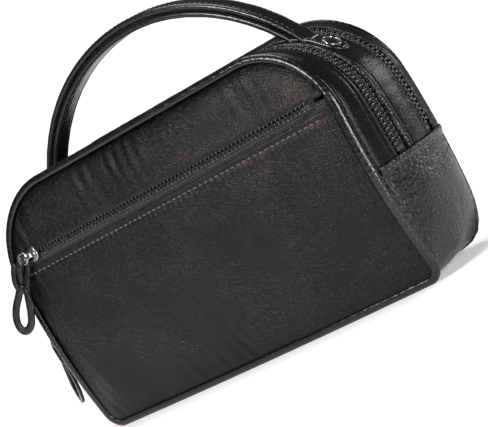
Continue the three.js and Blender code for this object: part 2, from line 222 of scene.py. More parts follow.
def value_noise(points, cell, seed=0):
    """Smooth noise from about -1 to 1 at each point, with features one cell wide."""
    place = np.asarray(points, float) / cell
    base = np.floor(place).astype(np.int64)
    part = place - base
    part = part * part * (3 - 2 * part)
    total = np.zeros(place.shape[:-1])
    for corner in np.ndindex((2,) * place.shape[-1]):
        at = base + np.array(corner)
        mixed = (at * np.array([127, 311, 741])[: place.shape[-1]]).sum(-1) + seed * 57
        value = np.modf(np.sin(mixed * 12.9898) * 43758.5453)[0]
        weight = np.where(np.array(corner) == 1, part, 1 - part).prod(-1)
        total += weight * value
    return total


def smoothstep(low, high, value):
    share = np.clip((value - low) / (high - low), 0, 1)
    return share * share * (3 - 2 * share)


def bump(value, centre, width):
    return np.exp(-(((value - centre) / width) ** 2))


def spaced(low, high, step):
    """Positions from low to high about a step apart, with the fine ones that a turned edge needs."""
    middle = np.linspace(
        low + FINE_ENDS[-1], high - FINE_ENDS[-1], max(2, int((high - low) / step))
    )
    return np.concatenate([low + FINE_ENDS[:-1], middle, (high - FINE_ENDS[:-1])[::-1]])


def turned(distance, radius):
    """How far a rounded edge has dropped at a distance in from its end."""
    short = np.clip(radius - distance, 0, radius)
    return radius - np.sqrt(np.maximum(radius**2 - short**2, 0))


# ---- The bag's outline and its softening ----


def outline_table():
    """Travel, x, z and facing angle of points round the outline, from the base's middle and back."""
    marks = [(0.0, 0.0, -90.0)]
    corners = [
        (1, BOTTOM_RADIUS, BOTTOM_RADIUS, -90),
        (1, TOP_RADIUS, HEIGHT - TOP_RADIUS, 0),
        (-1, TOP_RADIUS, HEIGHT - TOP_RADIUS, 90),
        (-1, BOTTOM_RADIUS, BOTTOM_RADIUS, 180),
    ]
    for side, radius, centre_z, start in corners:
        centre_x = side * (LENGTH / 2 - radius)
        for angle in np.linspace(start, start + 90, ARC_STEPS):
            turn = math.radians(angle)
            x = centre_x + radius * math.cos(turn)
            marks.append((x, centre_z + radius * math.sin(turn), angle))
    marks.append((0.0, 0.0, 270.0))
    x, z, angle = np.array(marks).T
    travel = np.concatenate([[0], np.cumsum(np.hypot(np.diff(x), np.diff(z)))])
    return travel, x, z, angle


OUTLINE = outline_table()
RIM = OUTLINE[0][-1]
ARC_TRAVEL = OUTLINE[0][1 + ARC_STEPS]  # where the top corner starts, up the +X side


def outline_at(travel):
    """Place (x, z) and outward direction (x, z) at each travel."""
    at = np.mod(travel, RIM)
    x, z, angle = (np.interp(at, OUTLINE[0], column) for column in OUTLINE[1:])
    turn = np.radians(angle)
    return np.stack([x, z]), np.stack([np.cos(turn), np.sin(turn)])


def side_travel(height, inset):
    """Travel up the +X side to a height, on the outline drawn in by an inset."""
    if height <= HEIGHT - TOP_RADIUS:
        return ARC_TRAVEL - (HEIGHT - TOP_RADIUS - height)
    rise = (height - HEIGHT + TOP_RADIUS) / (TOP_RADIUS - inset)
    return ARC_TRAVEL + TOP_RADIUS * math.asin(min(rise, 1.0))


def rim_distance(x, z):
    """How far inside the outline each point is."""
    radius = np.where(z > HEIGHT / 2, TOP_RADIUS, BOTTOM_RADIUS)
    over_x = np.abs(x) - (LENGTH / 2 - radius)
    over_z = np.abs(z - HEIGHT / 2) - (HEIGHT / 2 - radius)
    inner = np.minimum(np.maximum(over_x, over_z), 0)
    return radius - inner - np.hypot(np.maximum(over_x, 0), np.maximum(over_z, 0))


def soften(points):
    """The filled bag's shape: rims draw back, ends belly, the top sags, rear bottom corners tuck in."""
    x, y, z = np.moveaxis(np.asarray(points, float), -1, 0)
    along = 2 * x / LENGTH
    up = 2 * z / HEIGHT - 1
    across = np.maximum(0, 1 - (2 * y / DEPTH) ** 2)
    belly = END_BELLY * along**5 * across * (1 - up**2)
    sag = TOP_SAG * across * np.maximum(0, 1 - along**2) * (z / HEIGHT) ** 3
    draw = 1 - RIM_DRAW_ENDS * along**2 - RIM_DRAW_TOP * up**2
    corner = np.hypot(LENGTH / 2 - np.abs(x), z)
    tuck = REAR_TUCK * smoothstep(*TUCK_DEPTHS, y) * bump(corner, 0, TUCK_REACH)
    return stacked(x + belly - np.sign(x) * tuck, y * draw, z - sag + tuck)


def carry(travel, across, out):
    """Softened points at depths and heights above the outline, one row for each travel."""
    place, facing = outline_at(np.asarray(travel, float))
    across, out = np.broadcast_arrays(across, out)
    x = place[0][:, None] + facing[0][:, None] * out
    z = place[1][:, None] + facing[1][:, None] * out
    return soften(stacked(x, across, z))


# ---- Meshes ----


def grid_faces(rows, columns, wrap_rows=False, wrap_columns=False):
    row, column = np.meshgrid(
        np.arange(rows if wrap_rows else rows - 1),
        np.arange(columns if wrap_columns else columns - 1),
        indexing="ij",
    )
    below, beside = (row + 1) % rows, (column + 1) % columns
    corners = [
        row * columns + column,
        below * columns + column,
        below * columns + beside,
        row * columns + beside,
    ]
    return stacked(*corners).reshape(-1, 4)


def tube(rings, loop=False):
    """Points and faces of a closed skin over rings of points, each with an even number of points."""
    count, size = rings.shape[:2]
    faces = [grid_faces(count, size, wrap_rows=loop, wrap_columns=True)]
    if not loop:
        near = np.arange(size // 2 - 1)
        cap = stacked(near, near + 1, size - 2 - near, size - 1 - near)
        faces += [cap, cap[:, ::-1] + (count - 1) * size]
    return rings.reshape(-1, 3), np.concatenate(faces)


def slab(upper, lower):
    """A closed sheet between two grids of points."""
    return tube(np.concatenate([upper, lower[:, ::-1]], axis=1))


def both_sides(values):
    """A mark of a slab's upper grid, repeated for its lower grid."""
    return np.concatenate([values, values[:, ::-1]], axis=1).ravel()


def merged(parts):
    """Several (points, faces) as one."""
    points, faces, start = [], [], 0
    for part_points, part_faces in parts:
        points.append(part_points)
        faces.append(part_faces + start)
        start += len(part_points)
    return np.concatenate(points), np.concatenate(faces)


def copies(template, origins, axes):
    """A template set down at each origin, with its X, Y and Z along the three axes given there."""
    points, faces = template
    placed = origins[:, None, :] + sum(
        points[None, :, index, None] * axis[:, None, :] for index, axis in enumerate(axes)
    )
    starts = (np.arange(len(origins)) * len(points))[:, None, None]
    return placed.reshape(-1, 3), (faces[None] + starts).reshape(-1, faces.shape[-1])


def add_piece(name, shape, material, body, replaced=(), marks=None):
    """Makes the mesh in metres with its faces outwards, and rides it on its body if it has one."""
    points, faces = shape
    mesh = bpy.data.meshes.new(name)
    mesh.from_pydata((points * MM).tolist(), [], faces.tolist())
    for mark, values in (marks or {}).items():
        attribute = mesh.attributes.new(mark, "FLOAT", "POINT")
        attribute.data.foreach_set("value", np.asarray(values, np.float32).ravel())
    work = bmesh.new()
    work.from_mesh(mesh)
    bmesh.ops.recalc_face_normals(work, faces=work.faces)
    work.to_mesh(mesh)
    work.free()
    mesh.polygons.foreach_set("use_smooth", [True] * len(mesh.polygons))
    mesh.materials.append(material)
    piece = bpy.data.objects.new(name, mesh)
    bpy.context.scene.collection.objects.link(piece)
    if body:
        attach(piece, body)
    if replaced:
        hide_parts(*replaced)
    return piece


def round_section(half_width, half_height, radius, corner_steps=4):
    """A rounded rectangle as (n, 2) points."""
    points = []
    for side_x, side_y, start in ((1, 1, 0), (-1, 1, 90), (-1, -1, 180), (1, -1, 270)):
        for step in range(corner_steps + 1):
            turn = math.radians(start + 90 * step / corner_steps)
            x = side_x * (half_width - radius) + radius * math.cos(turn)
            points.append((x, side_y * (half_height - radius) + radius * math.sin(turn)))
    return np.array(points)


def ribbon(path, normals, section, loop=False):
    """A section swept along a path: its X lies across the path and its Y along the normals."""
    normals = np.broadcast_to(normals, path.shape)
    if loop:
        tangent = np.roll(path, -1, axis=0) - np.roll(path, 1, axis=0)
    else:
        tangent = np.gradient(path, axis=0)
    tangent = unit(tangent)
    side = unit(np.cross(tangent, normals))
    rise = np.cross(side, tangent)
    if section.ndim == 2:
        section = np.broadcast_to(section, (len(path),) + section.shape)
    rings = path[:, None] + section[:, :, :1] * side[:, None] + section[:, :, 1:] * rise[:, None]
    return tube(rings, loop)


def curve_through(points, per_span=10, loop=False):
    """A smooth line through given points."""
    knots = np.asarray(points, float)
    count = len(knots)
    spans = count if loop else count - 1
    line = []
    for span in range(spans):
        if loop:
            picks = [(span + offset) % count for offset in (-1, 0, 1, 2)]
        else:
            picks = [min(max(span + offset, 0), count - 1) for offset in (-1, 0, 1, 2)]
        a, b, c, d = knots[picks]
        for t in np.arange(per_span) / per_span:
            line.append(
                0.5 * (2 * b + (c - a) * t + (2 * a - 5 * b + 4 * c - d) * t**2
                       + (3 * b - a - 3 * c + d) * t**3)
            )
    if not loop:
        line.append(knots[-1])
    return np.array(line)


# ---- Materials ----

CELL_WANDER = 0.35
TAPE_RIB = 1.3
TAPE_WEFT = 1.5
LINING_THREADS = 9000.0


class Finish:
    """A procedural material being wired up."""

    def __init__(self, name):
        self.material = bpy.data.materials.new(name)
        self.material.use_nodes = True
        self.tree = self.material.node_tree
        self.shader = self.tree.nodes["Principled BSDF"]
        self.coords = self.add("ShaderNodeTexCoord").outputs["Object"]

    def add(self, kind, inputs=None, **settings):
        node = self.tree.nodes.new(kind)
        for key, value in settings.items():
            setattr(node, key, value)
        for key, value in (inputs or {}).items():
            self.feed(node.inputs[key], value)
        return node

    def feed(self, socket, value):
        if isinstance(value, bpy.types.NodeSocket):
            self.tree.links.new(value, socket)
        else:
            socket.default_value = value

    def math(self, operation, first, second=0.0, third=0.0):
        node = self.add("ShaderNodeMath", operation=operation)
        for socket, value in zip(node.inputs, (first, second, third)):
            self.feed(socket, value)
        return node.outputs[0]

    def times(self, first, second):
        return self.math("MULTIPLY", first, second)

    def times_add(self, first, second, third):
        return self.math("MULTIPLY_ADD", first, second, third)

    def noise(self, scale, detail=2.0, stretch=(1, 1, 1), turn=0.0, roughness=0.5, distortion=0.0):
        vector = self.stretched(stretch, turn)
        node = self.add(
            "ShaderNodeTexNoise",
            {"Vector": vector, "Scale": scale, "Detail": detail, "Roughness": roughness,
             "Distortion": distortion},
        )
        return node.outputs["Fac"]

    def stretched(self, stretch, turn):
        """Object coordinates turned about Y, then drawn out where a stretch is above one."""
        if stretch == (1, 1, 1):
            return self.coords
        return self.add(
            "ShaderNodeMapping",
            {"Vector": self.coords, "Scale": stretch, "Rotation": (0, turn, 0)},
            vector_type="TEXTURE",
        ).outputs["Vector"]

    def cells(self, size):
        """Pebbled grain: distance to the wandering borders of cells about size metres wide."""
        wander = self.add(
            "ShaderNodeTexNoise", {"Vector": self.coords, "Scale": 0.6 / size, "Detail": 2.0}
        ).outputs["Color"]
        moved = self.add(
            "ShaderNodeVectorMath",
            {0: wander, 1: (CELL_WANDER * size,) * 3, 2: self.coords},
            operation="MULTIPLY_ADD",
        ).outputs[0]
        node = self.add(
            "ShaderNodeTexVoronoi", {"Vector": moved, "Scale": 1 / size},
            feature="DISTANCE_TO_EDGE",
        )
        return node.outputs["Distance"]

    def band(self, value, low, high, to_low=0.0, to_high=1.0):
        return self.add(
            "ShaderNodeMapRange",
            {"Value": value, "From Min": low, "From Max": high, "To Min": to_low, "To Max": to_high},
            interpolation_type="SMOOTHSTEP",
        ).outputs["Result"]

    def attribute(self, name):
        return self.add("ShaderNodeAttribute", attribute_name=name).outputs["Fac"]

    def mix(self, share, first, second):
        node = self.add("ShaderNodeMix", data_type="RGBA")
        self.feed(node.inputs[0], share)
        self.feed(node.inputs[6], first)
        self.feed(node.inputs[7], second)
        return node.outputs[2]

    def relief(self, height, depth=MM, strength=1.0):
        node = self.add(
            "ShaderNodeBump", {"Height": height, "Distance": depth, "Strength": strength}
        )
        self.tree.links.new(node.outputs["Normal"], self.shader.inputs["Normal"])

    def set(self, **values):
        for key, value in values.items():
            self.feed(self.shader.inputs[key.replace("_", " ")], value)
        return self.material


def colour(red, green, blue):
    return (red, green, blue, 1.0)


def leather(name, base, lit, wear_and_highlight, grain, pebble, crease, rough, specular, fine, highlight_flecks):
    """Black leather: pebbled grain, hair-fine pores and wandering creases. Its colour holds painted
    light: painted highlight along turned edges and crests where the 'edge' mark is set (on the laces it
    is random rub marks), painted highlight flecks on the grain's raised tops, and painted shade in the
    gaps between pebbles.
    """
    finish = Finish(name)
    pebbles = finish.band(finish.cells(grain), 0.0, 0.36)
    pores = finish.noise(1.1 / grain, detail=3.0, roughness=0.6)
    mask = finish.band(finish.noise(26.0, detail=1.0), 0.44, 0.66)
    ridged = finish.math(
        "ABSOLUTE",
        finish.math(
            "SUBTRACT",
            finish.noise(0.42 / grain, detail=3.0, stretch=(2.6, 1, 0.8), turn=0.45, distortion=0.5),
            0.5,
        ),
    )
    creases = finish.times(finish.band(ridged, 0.0, 0.09), mask)
    height = finish.times(pebbles, pebble)
    height = finish.times_add(pores, fine, height)
    height = finish.times_add(creases, crease, height)
    grained = finish.math("SUBTRACT", 1.0, finish.attribute("smooth"))
    finish.relief(finish.times(height, grained))
    cloudy = finish.band(finish.noise(34.0, detail=3.0), 0.3, 0.75)
    # Painted highlight: lighter flecks where the pore noise, which also raises the surface, is high.
    # The cloudy patches are random tone.
    fleck = finish.times(finish.band(pores, 0.42, 0.64), grained)
    tone_and_grain_highlight = finish.times_add(fleck, highlight_flecks, finish.times(cloudy, 0.25))
    shade = finish.mix(tone_and_grain_highlight, base, lit)
    # Painted highlight: where the 'edge' mark is set, the colour is pulled towards the lighter third
    # colour. On the laces the mark is random rub marks.
    shade = finish.mix(finish.attribute("edge"), shade, wear_and_highlight)
    # Painted shade: the gaps between pebbles are darkened towards black.
    shade = finish.mix(finish.math("SUBTRACT", 1.0, pebbles), shade, colour(0.002, 0.002, 0.002))
    gloss = finish.times_add(cloudy, -0.08, rough + 0.04)
    gloss = finish.times_add(pebbles, -0.06, gloss)
    return finish.set(Base_Color=shade, Roughness=gloss, Specular_IOR_Level=specular)


def tape_cloth(name, base, lit):
    """Woven zip tape: fine ribs along and across the travel."""
    finish = Finish(name)
    ribs = finish.times(finish.attribute("along"), 2 * math.pi / TAPE_RIB)
    wefts = finish.times(finish.attribute("across"), 2 * math.pi / TAPE_WEFT)
    woven = finish.times(finish.math("SINE", wefts), 0.5)
    weave = finish.times_add(finish.math("SINE", ribs), 0.5, woven)
    fuzz = finish.noise(1300.0, detail=3.0)
    finish.relief(finish.times_add(weave, 0.2, finish.times(fuzz, 0.5)))
    share = finish.band(finish.times_add(weave, 0.3, fuzz), 0.3, 0.95)
    return finish.set(
        Base_Color=finish.mix(share, base, lit), Roughness=0.82, Specular_IOR_Level=0.3,
        Sheen_Weight=0.12, Sheen_Roughness=0.5,
    )


def lining_cloth(name, base, lit):
    """Plain woven lining."""
    finish = Finish(name)
    place = finish.add("ShaderNodeSeparateXYZ", {0: finish.coords}).outputs
    warp, weft = (
        finish.math("SINE", finish.times(place[axis], LINING_THREADS)) for axis in ("X", "Z"))
    weave = finish.times(warp, weft)
    slubs = finish.noise(500.0, detail=3.0, stretch=(1, 1, 0.17))
    finish.relief(finish.times_add(weave, 0.06, finish.times(slubs, 0.08)))
    share = finish.band(finish.times_add(weave, 0.15, slubs), 0.2, 0.8)
    return finish.set(Base_Color=finish.mix(share, base, lit), Roughness=0.88, Sheen_Weight=0.2)


def board_stock(name, base, lit):
    """Grey fibre board: short fibres pressed flat."""
    finish = Finish(name)
    fibres = finish.noise(900.0, detail=5.0, stretch=(1, 0.33, 1))
    specks = finish.band(finish.noise(2500.0, detail=1.0), 0.55, 0.8)
    finish.relief(finish.times(fibres, 0.12))
    share = finish.times_add(specks, 0.4, finish.times(fibres, 0.6))
    return finish.set(Base_Color=finish.mix(share, base, lit), Roughness=0.85)


def moulded(name, base, lit, rough):
    """Glossy moulded plastic with a faint orange-peel surface."""
    finish = Finish(name)
    finish.relief(finish.times(finish.noise(1800.0), 0.05))
    cloudy = finish.band(finish.noise(400.0), 0.35, 0.7)
    gloss = finish.times_add(cloudy, 0.08, rough)
    return finish.set(
        Base_Color=finish.mix(cloudy, base, lit), Roughness=gloss, Specular_IOR_Level=0.6,
        Coat_Weight=0.5, Coat_Roughness=0.1,
    )


def plated(name, base, dull, rough):
    """Bright plated metal with fine rub marks and duller hollows."""
    finish = Finish(name)
    rubs = finish.noise(1500.0, detail=4.0, stretch=(1, 1, 0.14))
    cloudy = finish.band(finish.noise(260.0), 0.35, 0.75)
    finish.relief(finish.times(rubs, 0.006))
    gloss = finish.times_add(cloudy, 0.12, rough)
    gloss = finish.times_add(rubs, 0.06, gloss)
    return finish.set(Base_Color=finish.mix(cloudy, base, dull), Metallic=1.0, Roughness=gloss)


def thread_cord(name, base, lit):
    """Twisted sewing thread."""
    finish = Finish(name)
    twist = finish.noise(3200.0, stretch=(0.5, 0.5, 1))
    finish.relief(finish.times(twist, 0.12))
    return finish.set(
        Base_Color=finish.mix(finish.band(twist, 0.3, 0.7), base, lit), Roughness=0.55,
        Specular_IOR_Level=0.55, Sheen_Weight=0.3,
    )


# Each leather's third colour is painted highlight, laid by the 'edge' mark along turned edges, strap
# and tongue edges and the piping's crest, and used as random rub marks on the laces. The last number
# sets the painted highlight flecks on the grain.
PANEL = leather(
    "panel_leather", colour(0.0032, 0.0026, 0.0023), colour(0.052, 0.044, 0.038),
    colour(0.060, 0.054, 0.050), grain=0.0012, pebble=0.08, crease=0.30, rough=0.33,
    specular=0.23, fine=0.32, highlight_flecks=0.20,
)
GUSSET = leather(
    "gusset_leather", colour(0.0036, 0.0034, 0.0042), colour(0.036, 0.034, 0.041),
    colour(0.070, 0.067, 0.075), grain=0.0021, pebble=0.20, crease=0.10, rough=0.35,
    specular=0.39, fine=0.38, highlight_flecks=0.04,
)
STRIP = leather(
    "strip_leather", colour(0.0030, 0.0029, 0.0038), colour(0.036, 0.034, 0.043),
    colour(0.17, 0.165, 0.18), grain=0.0015, pebble=0.05, crease=0.05, rough=0.34,
    specular=0.18, fine=0.15, highlight_flecks=0.03,
)
TRIM = leather(
    "trim_leather", colour(0.0028, 0.0027, 0.0029), colour(0.026, 0.024, 0.024),
    colour(0.07, 0.068, 0.066), grain=0.0008, pebble=0.018, crease=0.03, rough=0.22,
    specular=0.50, fine=0.02, highlight_flecks=0.04,
)
TAPE = tape_cloth("zip_tape", colour(0.004, 0.004, 0.0055), colour(0.062, 0.063, 0.080))
LINING = lining_cloth("lining_fabric", colour(0.018, 0.018, 0.020), colour(0.045, 0.045, 0.050))
BOARD = board_stock("stiffener_board", colour(0.10, 0.085, 0.07), colour(0.22, 0.20, 0.17))
TEETH = moulded("zip_teeth", colour(0.003, 0.003, 0.0035), colour(0.008, 0.008, 0.009), rough=0.22)
METAL = plated("bright_metal", colour(0.42, 0.42, 0.43), colour(0.20, 0.20, 0.21), rough=0.12)
DARK_CAP = moulded("rivet_cap", colour(0.010, 0.006, 0.005), colour(0.022, 0.014, 0.011), rough=0.35)
THREAD = thread_cord("stitch_thread", colour(0.022, 0.020, 0.020), colour(0.12, 0.112, 0.108))
DARK_THREAD = thread_cord("handle_thread", colour(0.006, 0.006, 0.006), colour(0.035, 0.034, 0.034))


# ---- Panels ----

# Relief: heights, and the widths or reaches over which they change
HILLS = ((1.8, 55, 0), (0.6, 23, 1))
PUCKER_HEIGHT = 0.85
PUCKER_WIDTH = 3.6
PUCKER_REACH = 17
CREASE_DEPTH = 0.2
CREASE_WIDTH = 3.4
SWELL_HEIGHT = 0.8
LEAST_ROLL = 0.35
FLUSH_HEIGHT = 1.6
POCKET_FLATNESS = 0.85
SMOOTHED = 0.3


def fullness(x, z, seed):
    """Gentle hills and hollows of hand-filled leather, in millimetres of depth."""
    flat = stacked(x, z)
    return sum(height * value_noise(flat, width, seed + shift) for height, width, shift in HILLS)


def puckers(x, z, distance, seed):
    """Short gathers that run in from the rim and fade."""
    wander = x + 0.18 * z + 3 * value_noise(stacked(x, z), 24, seed)
    gate = smoothstep(-0.05, 0.5, value_noise(stacked(x * 0.9, z * 0.25), 30, seed + 3))
    wave = value_noise(stacked(wander, z * 0.12), PUCKER_WIDTH, seed + 5)
    fade = bump(distance, 4, PUCKER_REACH)
    return PUCKER_HEIGHT * gate * wave * fade * smoothstep(3, 7, distance)


def creases(x, z, seed):
    """Fine wandering wrinkles, in patches."""
    flat = stacked(x, z)
    bent = flat + 2.2 * stacked(*(value_noise(flat, 9, seed + shift) for shift in (20, 21)))
    ridge = np.abs(value_noise(bent * np.array([0.55, 1.0]), CREASE_WIDTH, seed + 7))
    patch = smoothstep(0.0, 0.5, value_noise(flat, 34, seed + 9))
    return -CREASE_DEPTH * patch * (1 - smoothstep(0.0, 0.3, ridge))


def panel_grid(inset, low=None, high=None):
    """Straight x and z of a panel's grid of points, edged by the outline."""
    start = LENGTH / 2 - BOTTOM_RADIUS if low is None else side_travel(low, inset)
    end = RIM / 2 - (LENGTH / 2 - TOP_RADIUS) if high is None else side_travel(high, inset)
    rows = spaced(start, end, 1.0)
    place, facing = outline_at(rows)
    edge = place - inset * facing
    if low is not None:
        edge[1] = np.maximum(edge[1], low)
    columns = spaced(-LENGTH / 2, LENGTH / 2, 1.0) / (LENGTH / 2)
    x = edge[0][:, None] * columns[None, :]
    z = np.broadcast_to(edge[1][:, None], x.shape)
    return x, z


def panel_face(x, z, seed=FRONT_SEED, roll=FRONT_ROLL):
    """Depth of a big panel's outer face: it rolls in towards the piping, and swells inside it.

    The roll is weaker low down and towards -X, so that no gap opens beside the piping there.
    """
    distance = rim_distance(x, z)
    drop, reach = roll
    rising = smoothstep(8, 60, z) * (0.5 + 0.5 * smoothstep(-LENGTH / 2, -65, x))
    full = LEAST_ROLL + (1 - LEAST_ROLL) * rising
    depth = DEPTH / 2 - drop * full * np.exp(-np.maximum(distance - PANEL_INSET, 0) / reach)
    depth += SWELL_HEIGHT * full * bump(distance, 15, 9)
    depth -= FLUSH_HEIGHT * (full - LEAST_ROLL) * bump(distance, 0, 13)
    flat = 1 - POCKET_FLATNESS * bump(z, POCKET_Z, 10)
    depth += fullness(x, z, seed) * smoothstep(6, 22, distance) * flat
    depth += puckers(x, z, distance, seed) + creases(x, z, seed) * smoothstep(5, 14, distance)
    return depth


def add_panel(name, replaced, side, seed, roll, low=None, high=None, shape_edge=None):
    x, z = panel_grid(PANEL_INSET, low, high)
    depth = panel_face(x, z, seed, roll)
    back = depth - LEATHER
    edge = np.zeros_like(x)
    if shape_edge:
        depth, back, edge = shape_edge(x, z, depth, back)
    upper = soften(stacked(x, side * depth, z))
    lower = soften(stacked(x, side * back, z))
    wander = z + 14 * value_noise(stacked(x, z), 26, seed + 13)
    smooth = SMOOTHED - SMOOTHED * smoothstep(8, 74, wander)
    marks = {"edge": both_sides(edge), "smooth": both_sides(smooth)}
    return add_piece(name, slab(upper, lower), PANEL, "bag", replaced, marks)


def upper_edge(x, z, depth, back):
    """The upper panel's turned-under edge above the pocket zip."""
    away = z - (POCKET_Z + POCKET_EDGE_UP)
    drop = turned(away, 1.5)
    swell = 0.7 * bump(away, 2.5, 3.0)
    # The third value is painted highlight along the turned-under edge.
    return depth + swell - drop, back + swell + 0.7 * bump(away, 0, 2.0), 0.35 * bump(away, 0.4, 0.7)


def pocket_edge(x, z, depth, back):
    """The pocket panel's folded edge, with the line of stitching below it."""
    away = (POCKET_Z - POCKET_EDGE_DOWN) - z
    drop = turned(away, FOLD_RADIUS)
    groove = 0.5 * bump(away, POCKET_STITCH_DROP, 0.75)
    rippled = 1 + 0.55 * np.sin(2 * np.pi * x / POCKET_STITCH_PITCH)
    swell = 0.35 * bump(away, 1.8, 1.4) + 0.3 * bump(away, POCKET_STITCH_DROP + 2.6, 2.0) * rippled
    # Painted highlight along the folded edge.
    edge = 0.5 * bump(away, 0.5, 0.6)
    return depth + swell - groove - drop, back + drop * 0.9, edge


def add_panels():
    add_panel(
        "upper_front_panel", ["front_upper_panel"], -1, FRONT_SEED, FRONT_ROLL,
        low=POCKET_Z + POCKET_EDGE_UP, shape_edge=upper_edge,
    )
    add_panel(
        "pocket_front_panel", ["front_pocket_panel"], -1, FRONT_SEED, FRONT_ROLL,
        high=POCKET_Z - POCKET_EDGE_DOWN, shape_edge=pocket_edge,
    )
    add_panel("rear_panel", ["back_panel"], 1, REAR_SEED, REAR_ROLL)


# ---- Piping ----

GATHER_HEIGHT = 0.07
LUMP_HEIGHT = 0.05


def add_piping(name, node, side):
    """Leather-covered cord round a rim, with the fine gathers of leather bent over it."""
    travel = np.arange(0, RIM, 0.45)
    turn = full_turn(24)
    lap = travel * 2 * math.pi / RIM
    lap_x, lap_y = (wave(lap)[:, None] * RIM / (2 * math.pi) for wave in (np.cos, np.sin))
    around = stacked(lap_x, lap_y, turn * 0.5)
    gathers = value_noise(around, 1.5, 5 if side < 0 else 8)
    lumps = value_noise(around * np.array([1, 1, 0.3]), 8.0, 15)
    radius = PIPING_RADIUS + GATHER_HEIGHT * gathers + LUMP_HEIGHT * lumps
    across = side * (PIPING_Y + radius * np.cos(turn))
    rings = carry(travel, across, -PIPING_INSET + radius * np.sin(turn))
    # Painted highlight: the 'edge' mark lightens the bead along its crest, broken up where the gathers
    # rise.
    crest = bump(turn, 0.65, 0.4) + bump(turn, 0.65 + 2 * math.pi, 0.4)
    edge = np.clip(0.10 * gathers + crest * (0.2 + 0.4 * gathers), 0, 1)
    return add_piece(
        name, tube(rings, loop=True), TRIM, "bag", [node], {"edge": edge})


# ---- Gusset ----

STRIP_CROWN = 0.5
PINCH_DEPTH = 4.2
PINCH_WIDTH = 11
PINCH_HALF = 37.0
BULGE_HEIGHT = 2.4
BULGE_ABOVE = 40
BULGE_WIDTH = 19
BAND_PROUD = 1.5


def seam_travel(height):
    """Travel at the +X side's and the -X side's end seam."""
    first = side_travel(height, 0)
    return first, RIM - first


def edge_dive(distance):
    """How far a raw edge dives beside the piping, at a distance in from it."""
    return EDGE_DIVE * np.exp(-distance / EDGE_DIVE_REACH)


def strip_profile(low, high, step, fold_low, fold_high):
    """Depths, heights of the outer and inner faces, and edge marks across a strip: painted highlight
    along its turned edges.
    """
    across = spaced(low, high, step)
    outer, inner = np.zeros_like(across), np.full_like(across, -LEATHER)
    edge = np.zeros_like(across)
    for distance, folded in ((across - low, fold_low), (high - across, fold_high)):
        if folded:
            outer += 0.25 * bump(distance, 1.4, 1.6) - 0.25 * bump(distance, 3.4, 0.6)
            outer -= turned(distance, FOLD_RADIUS)
            inner += turned(distance, FOLD_RADIUS)
            # Painted highlight along the turned edge.
            edge += bump(distance, 0.35, 0.5)
        else:
            outer -= edge_dive(distance)
            inner -= edge_dive(distance)
    return across, outer, inner, edge


def strip_marks(travel, across, edge):
    shape = (len(travel), len(across))
    return {
        "edge": both_sides(np.broadcast_to(edge, shape)),
        "along": both_sides(np.broadcast_to(travel[:, None], shape)),
        "across": both_sides(np.broadcast_to(across, shape)),
    }


def add_strip(name, node, low, high, folds, seed):
    """A strip of the zipped top between the end seams; folds say which of its sides are turned."""
    first, last = seam_travel(SEAM_Z + 0.8)
    travel = spaced(first, last, STRIP_STEP)
    across, outer, inner, edge = strip_profile(low, high, STRIP_STEP, *folds)
    grid = grid_of(travel, across)
    middle = 1 - ((across - (low + high) / 2) / ((high - low) / 2)) ** 2
    swell = STRIP_CROWN * middle + 0.22 * value_noise(grid, 17, seed) * middle
    swell = swell + 0.06 * value_noise(grid * np.array([1, 0.4]), 3.0, seed + 1)
    ends = turned(np.minimum(travel - first, last - travel), FOLD_RADIUS)[:, None]
    upper = carry(travel, across, outer + swell - ends)
    lower = carry(travel, across, inner + 0.5 * swell + ends)
    return add_piece(
        name, slab(upper, lower), STRIP, "bag", [node],
        strip_marks(travel, across, edge))


def corner_pinch(travel, across):
    """The lower gusset is drawn in at the bottom corners between the pipings, and bulges above."""
    corner = LENGTH / 2 - BOTTOM_RADIUS + BOTTOM_RADIUS * math.pi / 4
    at = np.mod(travel, RIM)
    lap = np.minimum(at, RIM - at)[:, None]
    between = np.clip(1 - (across / PINCH_HALF) ** 2, 0, 1)
    pinch = -PINCH_DEPTH * bump(lap, corner, PINCH_WIDTH) * between**0.5
    return pinch + BULGE_HEIGHT * bump(lap, corner + BULGE_ABOVE, BULGE_WIDTH) * between


def add_lower_gusset():
    first, last = seam_travel(SEAM_Z)
    travel = spaced(last, RIM + first, GUSSET_STEP)
    across, outer, inner, edge = strip_profile(-STRIP_RIM, STRIP_RIM, GUSSET_STEP, False, False)
    grid = grid_of(travel, across)
    middle = np.clip(1 - (across / STRIP_RIM) ** 2, 0, 1)
    wall = smoothstep(6, 22, carry(travel, [0.0], 0.0)[..., 2])
    swell = (0.9 * value_noise(grid, 26, 31) + 0.35 * value_noise(grid, 9, 33)) * middle * wall
    beside_piping = bump(STRIP_RIM - np.abs(across), 3, 7)
    gathers = value_noise(grid * np.array([1.0, 0.25]), 3.2, 37) * beside_piping * 0.2
    grain = 0.10 * value_noise(grid, 1.9, 41) * (0.3 + 0.7 * wall) * middle**0.3
    shift = swell + gathers * (0.2 + 0.8 * wall) + corner_pinch(travel, across)
    upper = carry(travel, across, outer + shift + grain)
    lower = carry(travel, across, inner + shift)
    add_piece(
        "lower_gusset_leather", slab(upper, lower), GUSSET, "bag",
        ["lower_gusset"], strip_marks(travel, across, edge))


def add_gusset_lining():
    """Cloth inside the lower gusset, drawn in with it at the corners."""
    first, last = seam_travel(SEAM_Z)
    low, high = box_mm("gusset_lining")
    across = np.linspace(low[1], high[1], 60)
    travel = np.linspace(last + 1, RIM + first - 1, 300)
    shift = corner_pinch(travel, across)
    faces = [carry(travel, across, shift - deep) for deep in (LINING_DEEP, LINING_DEEP + 0.8)]
    add_piece(
        "lower_gusset_lining", slab(*faces), LINING, "bag", ["gusset_lining"])


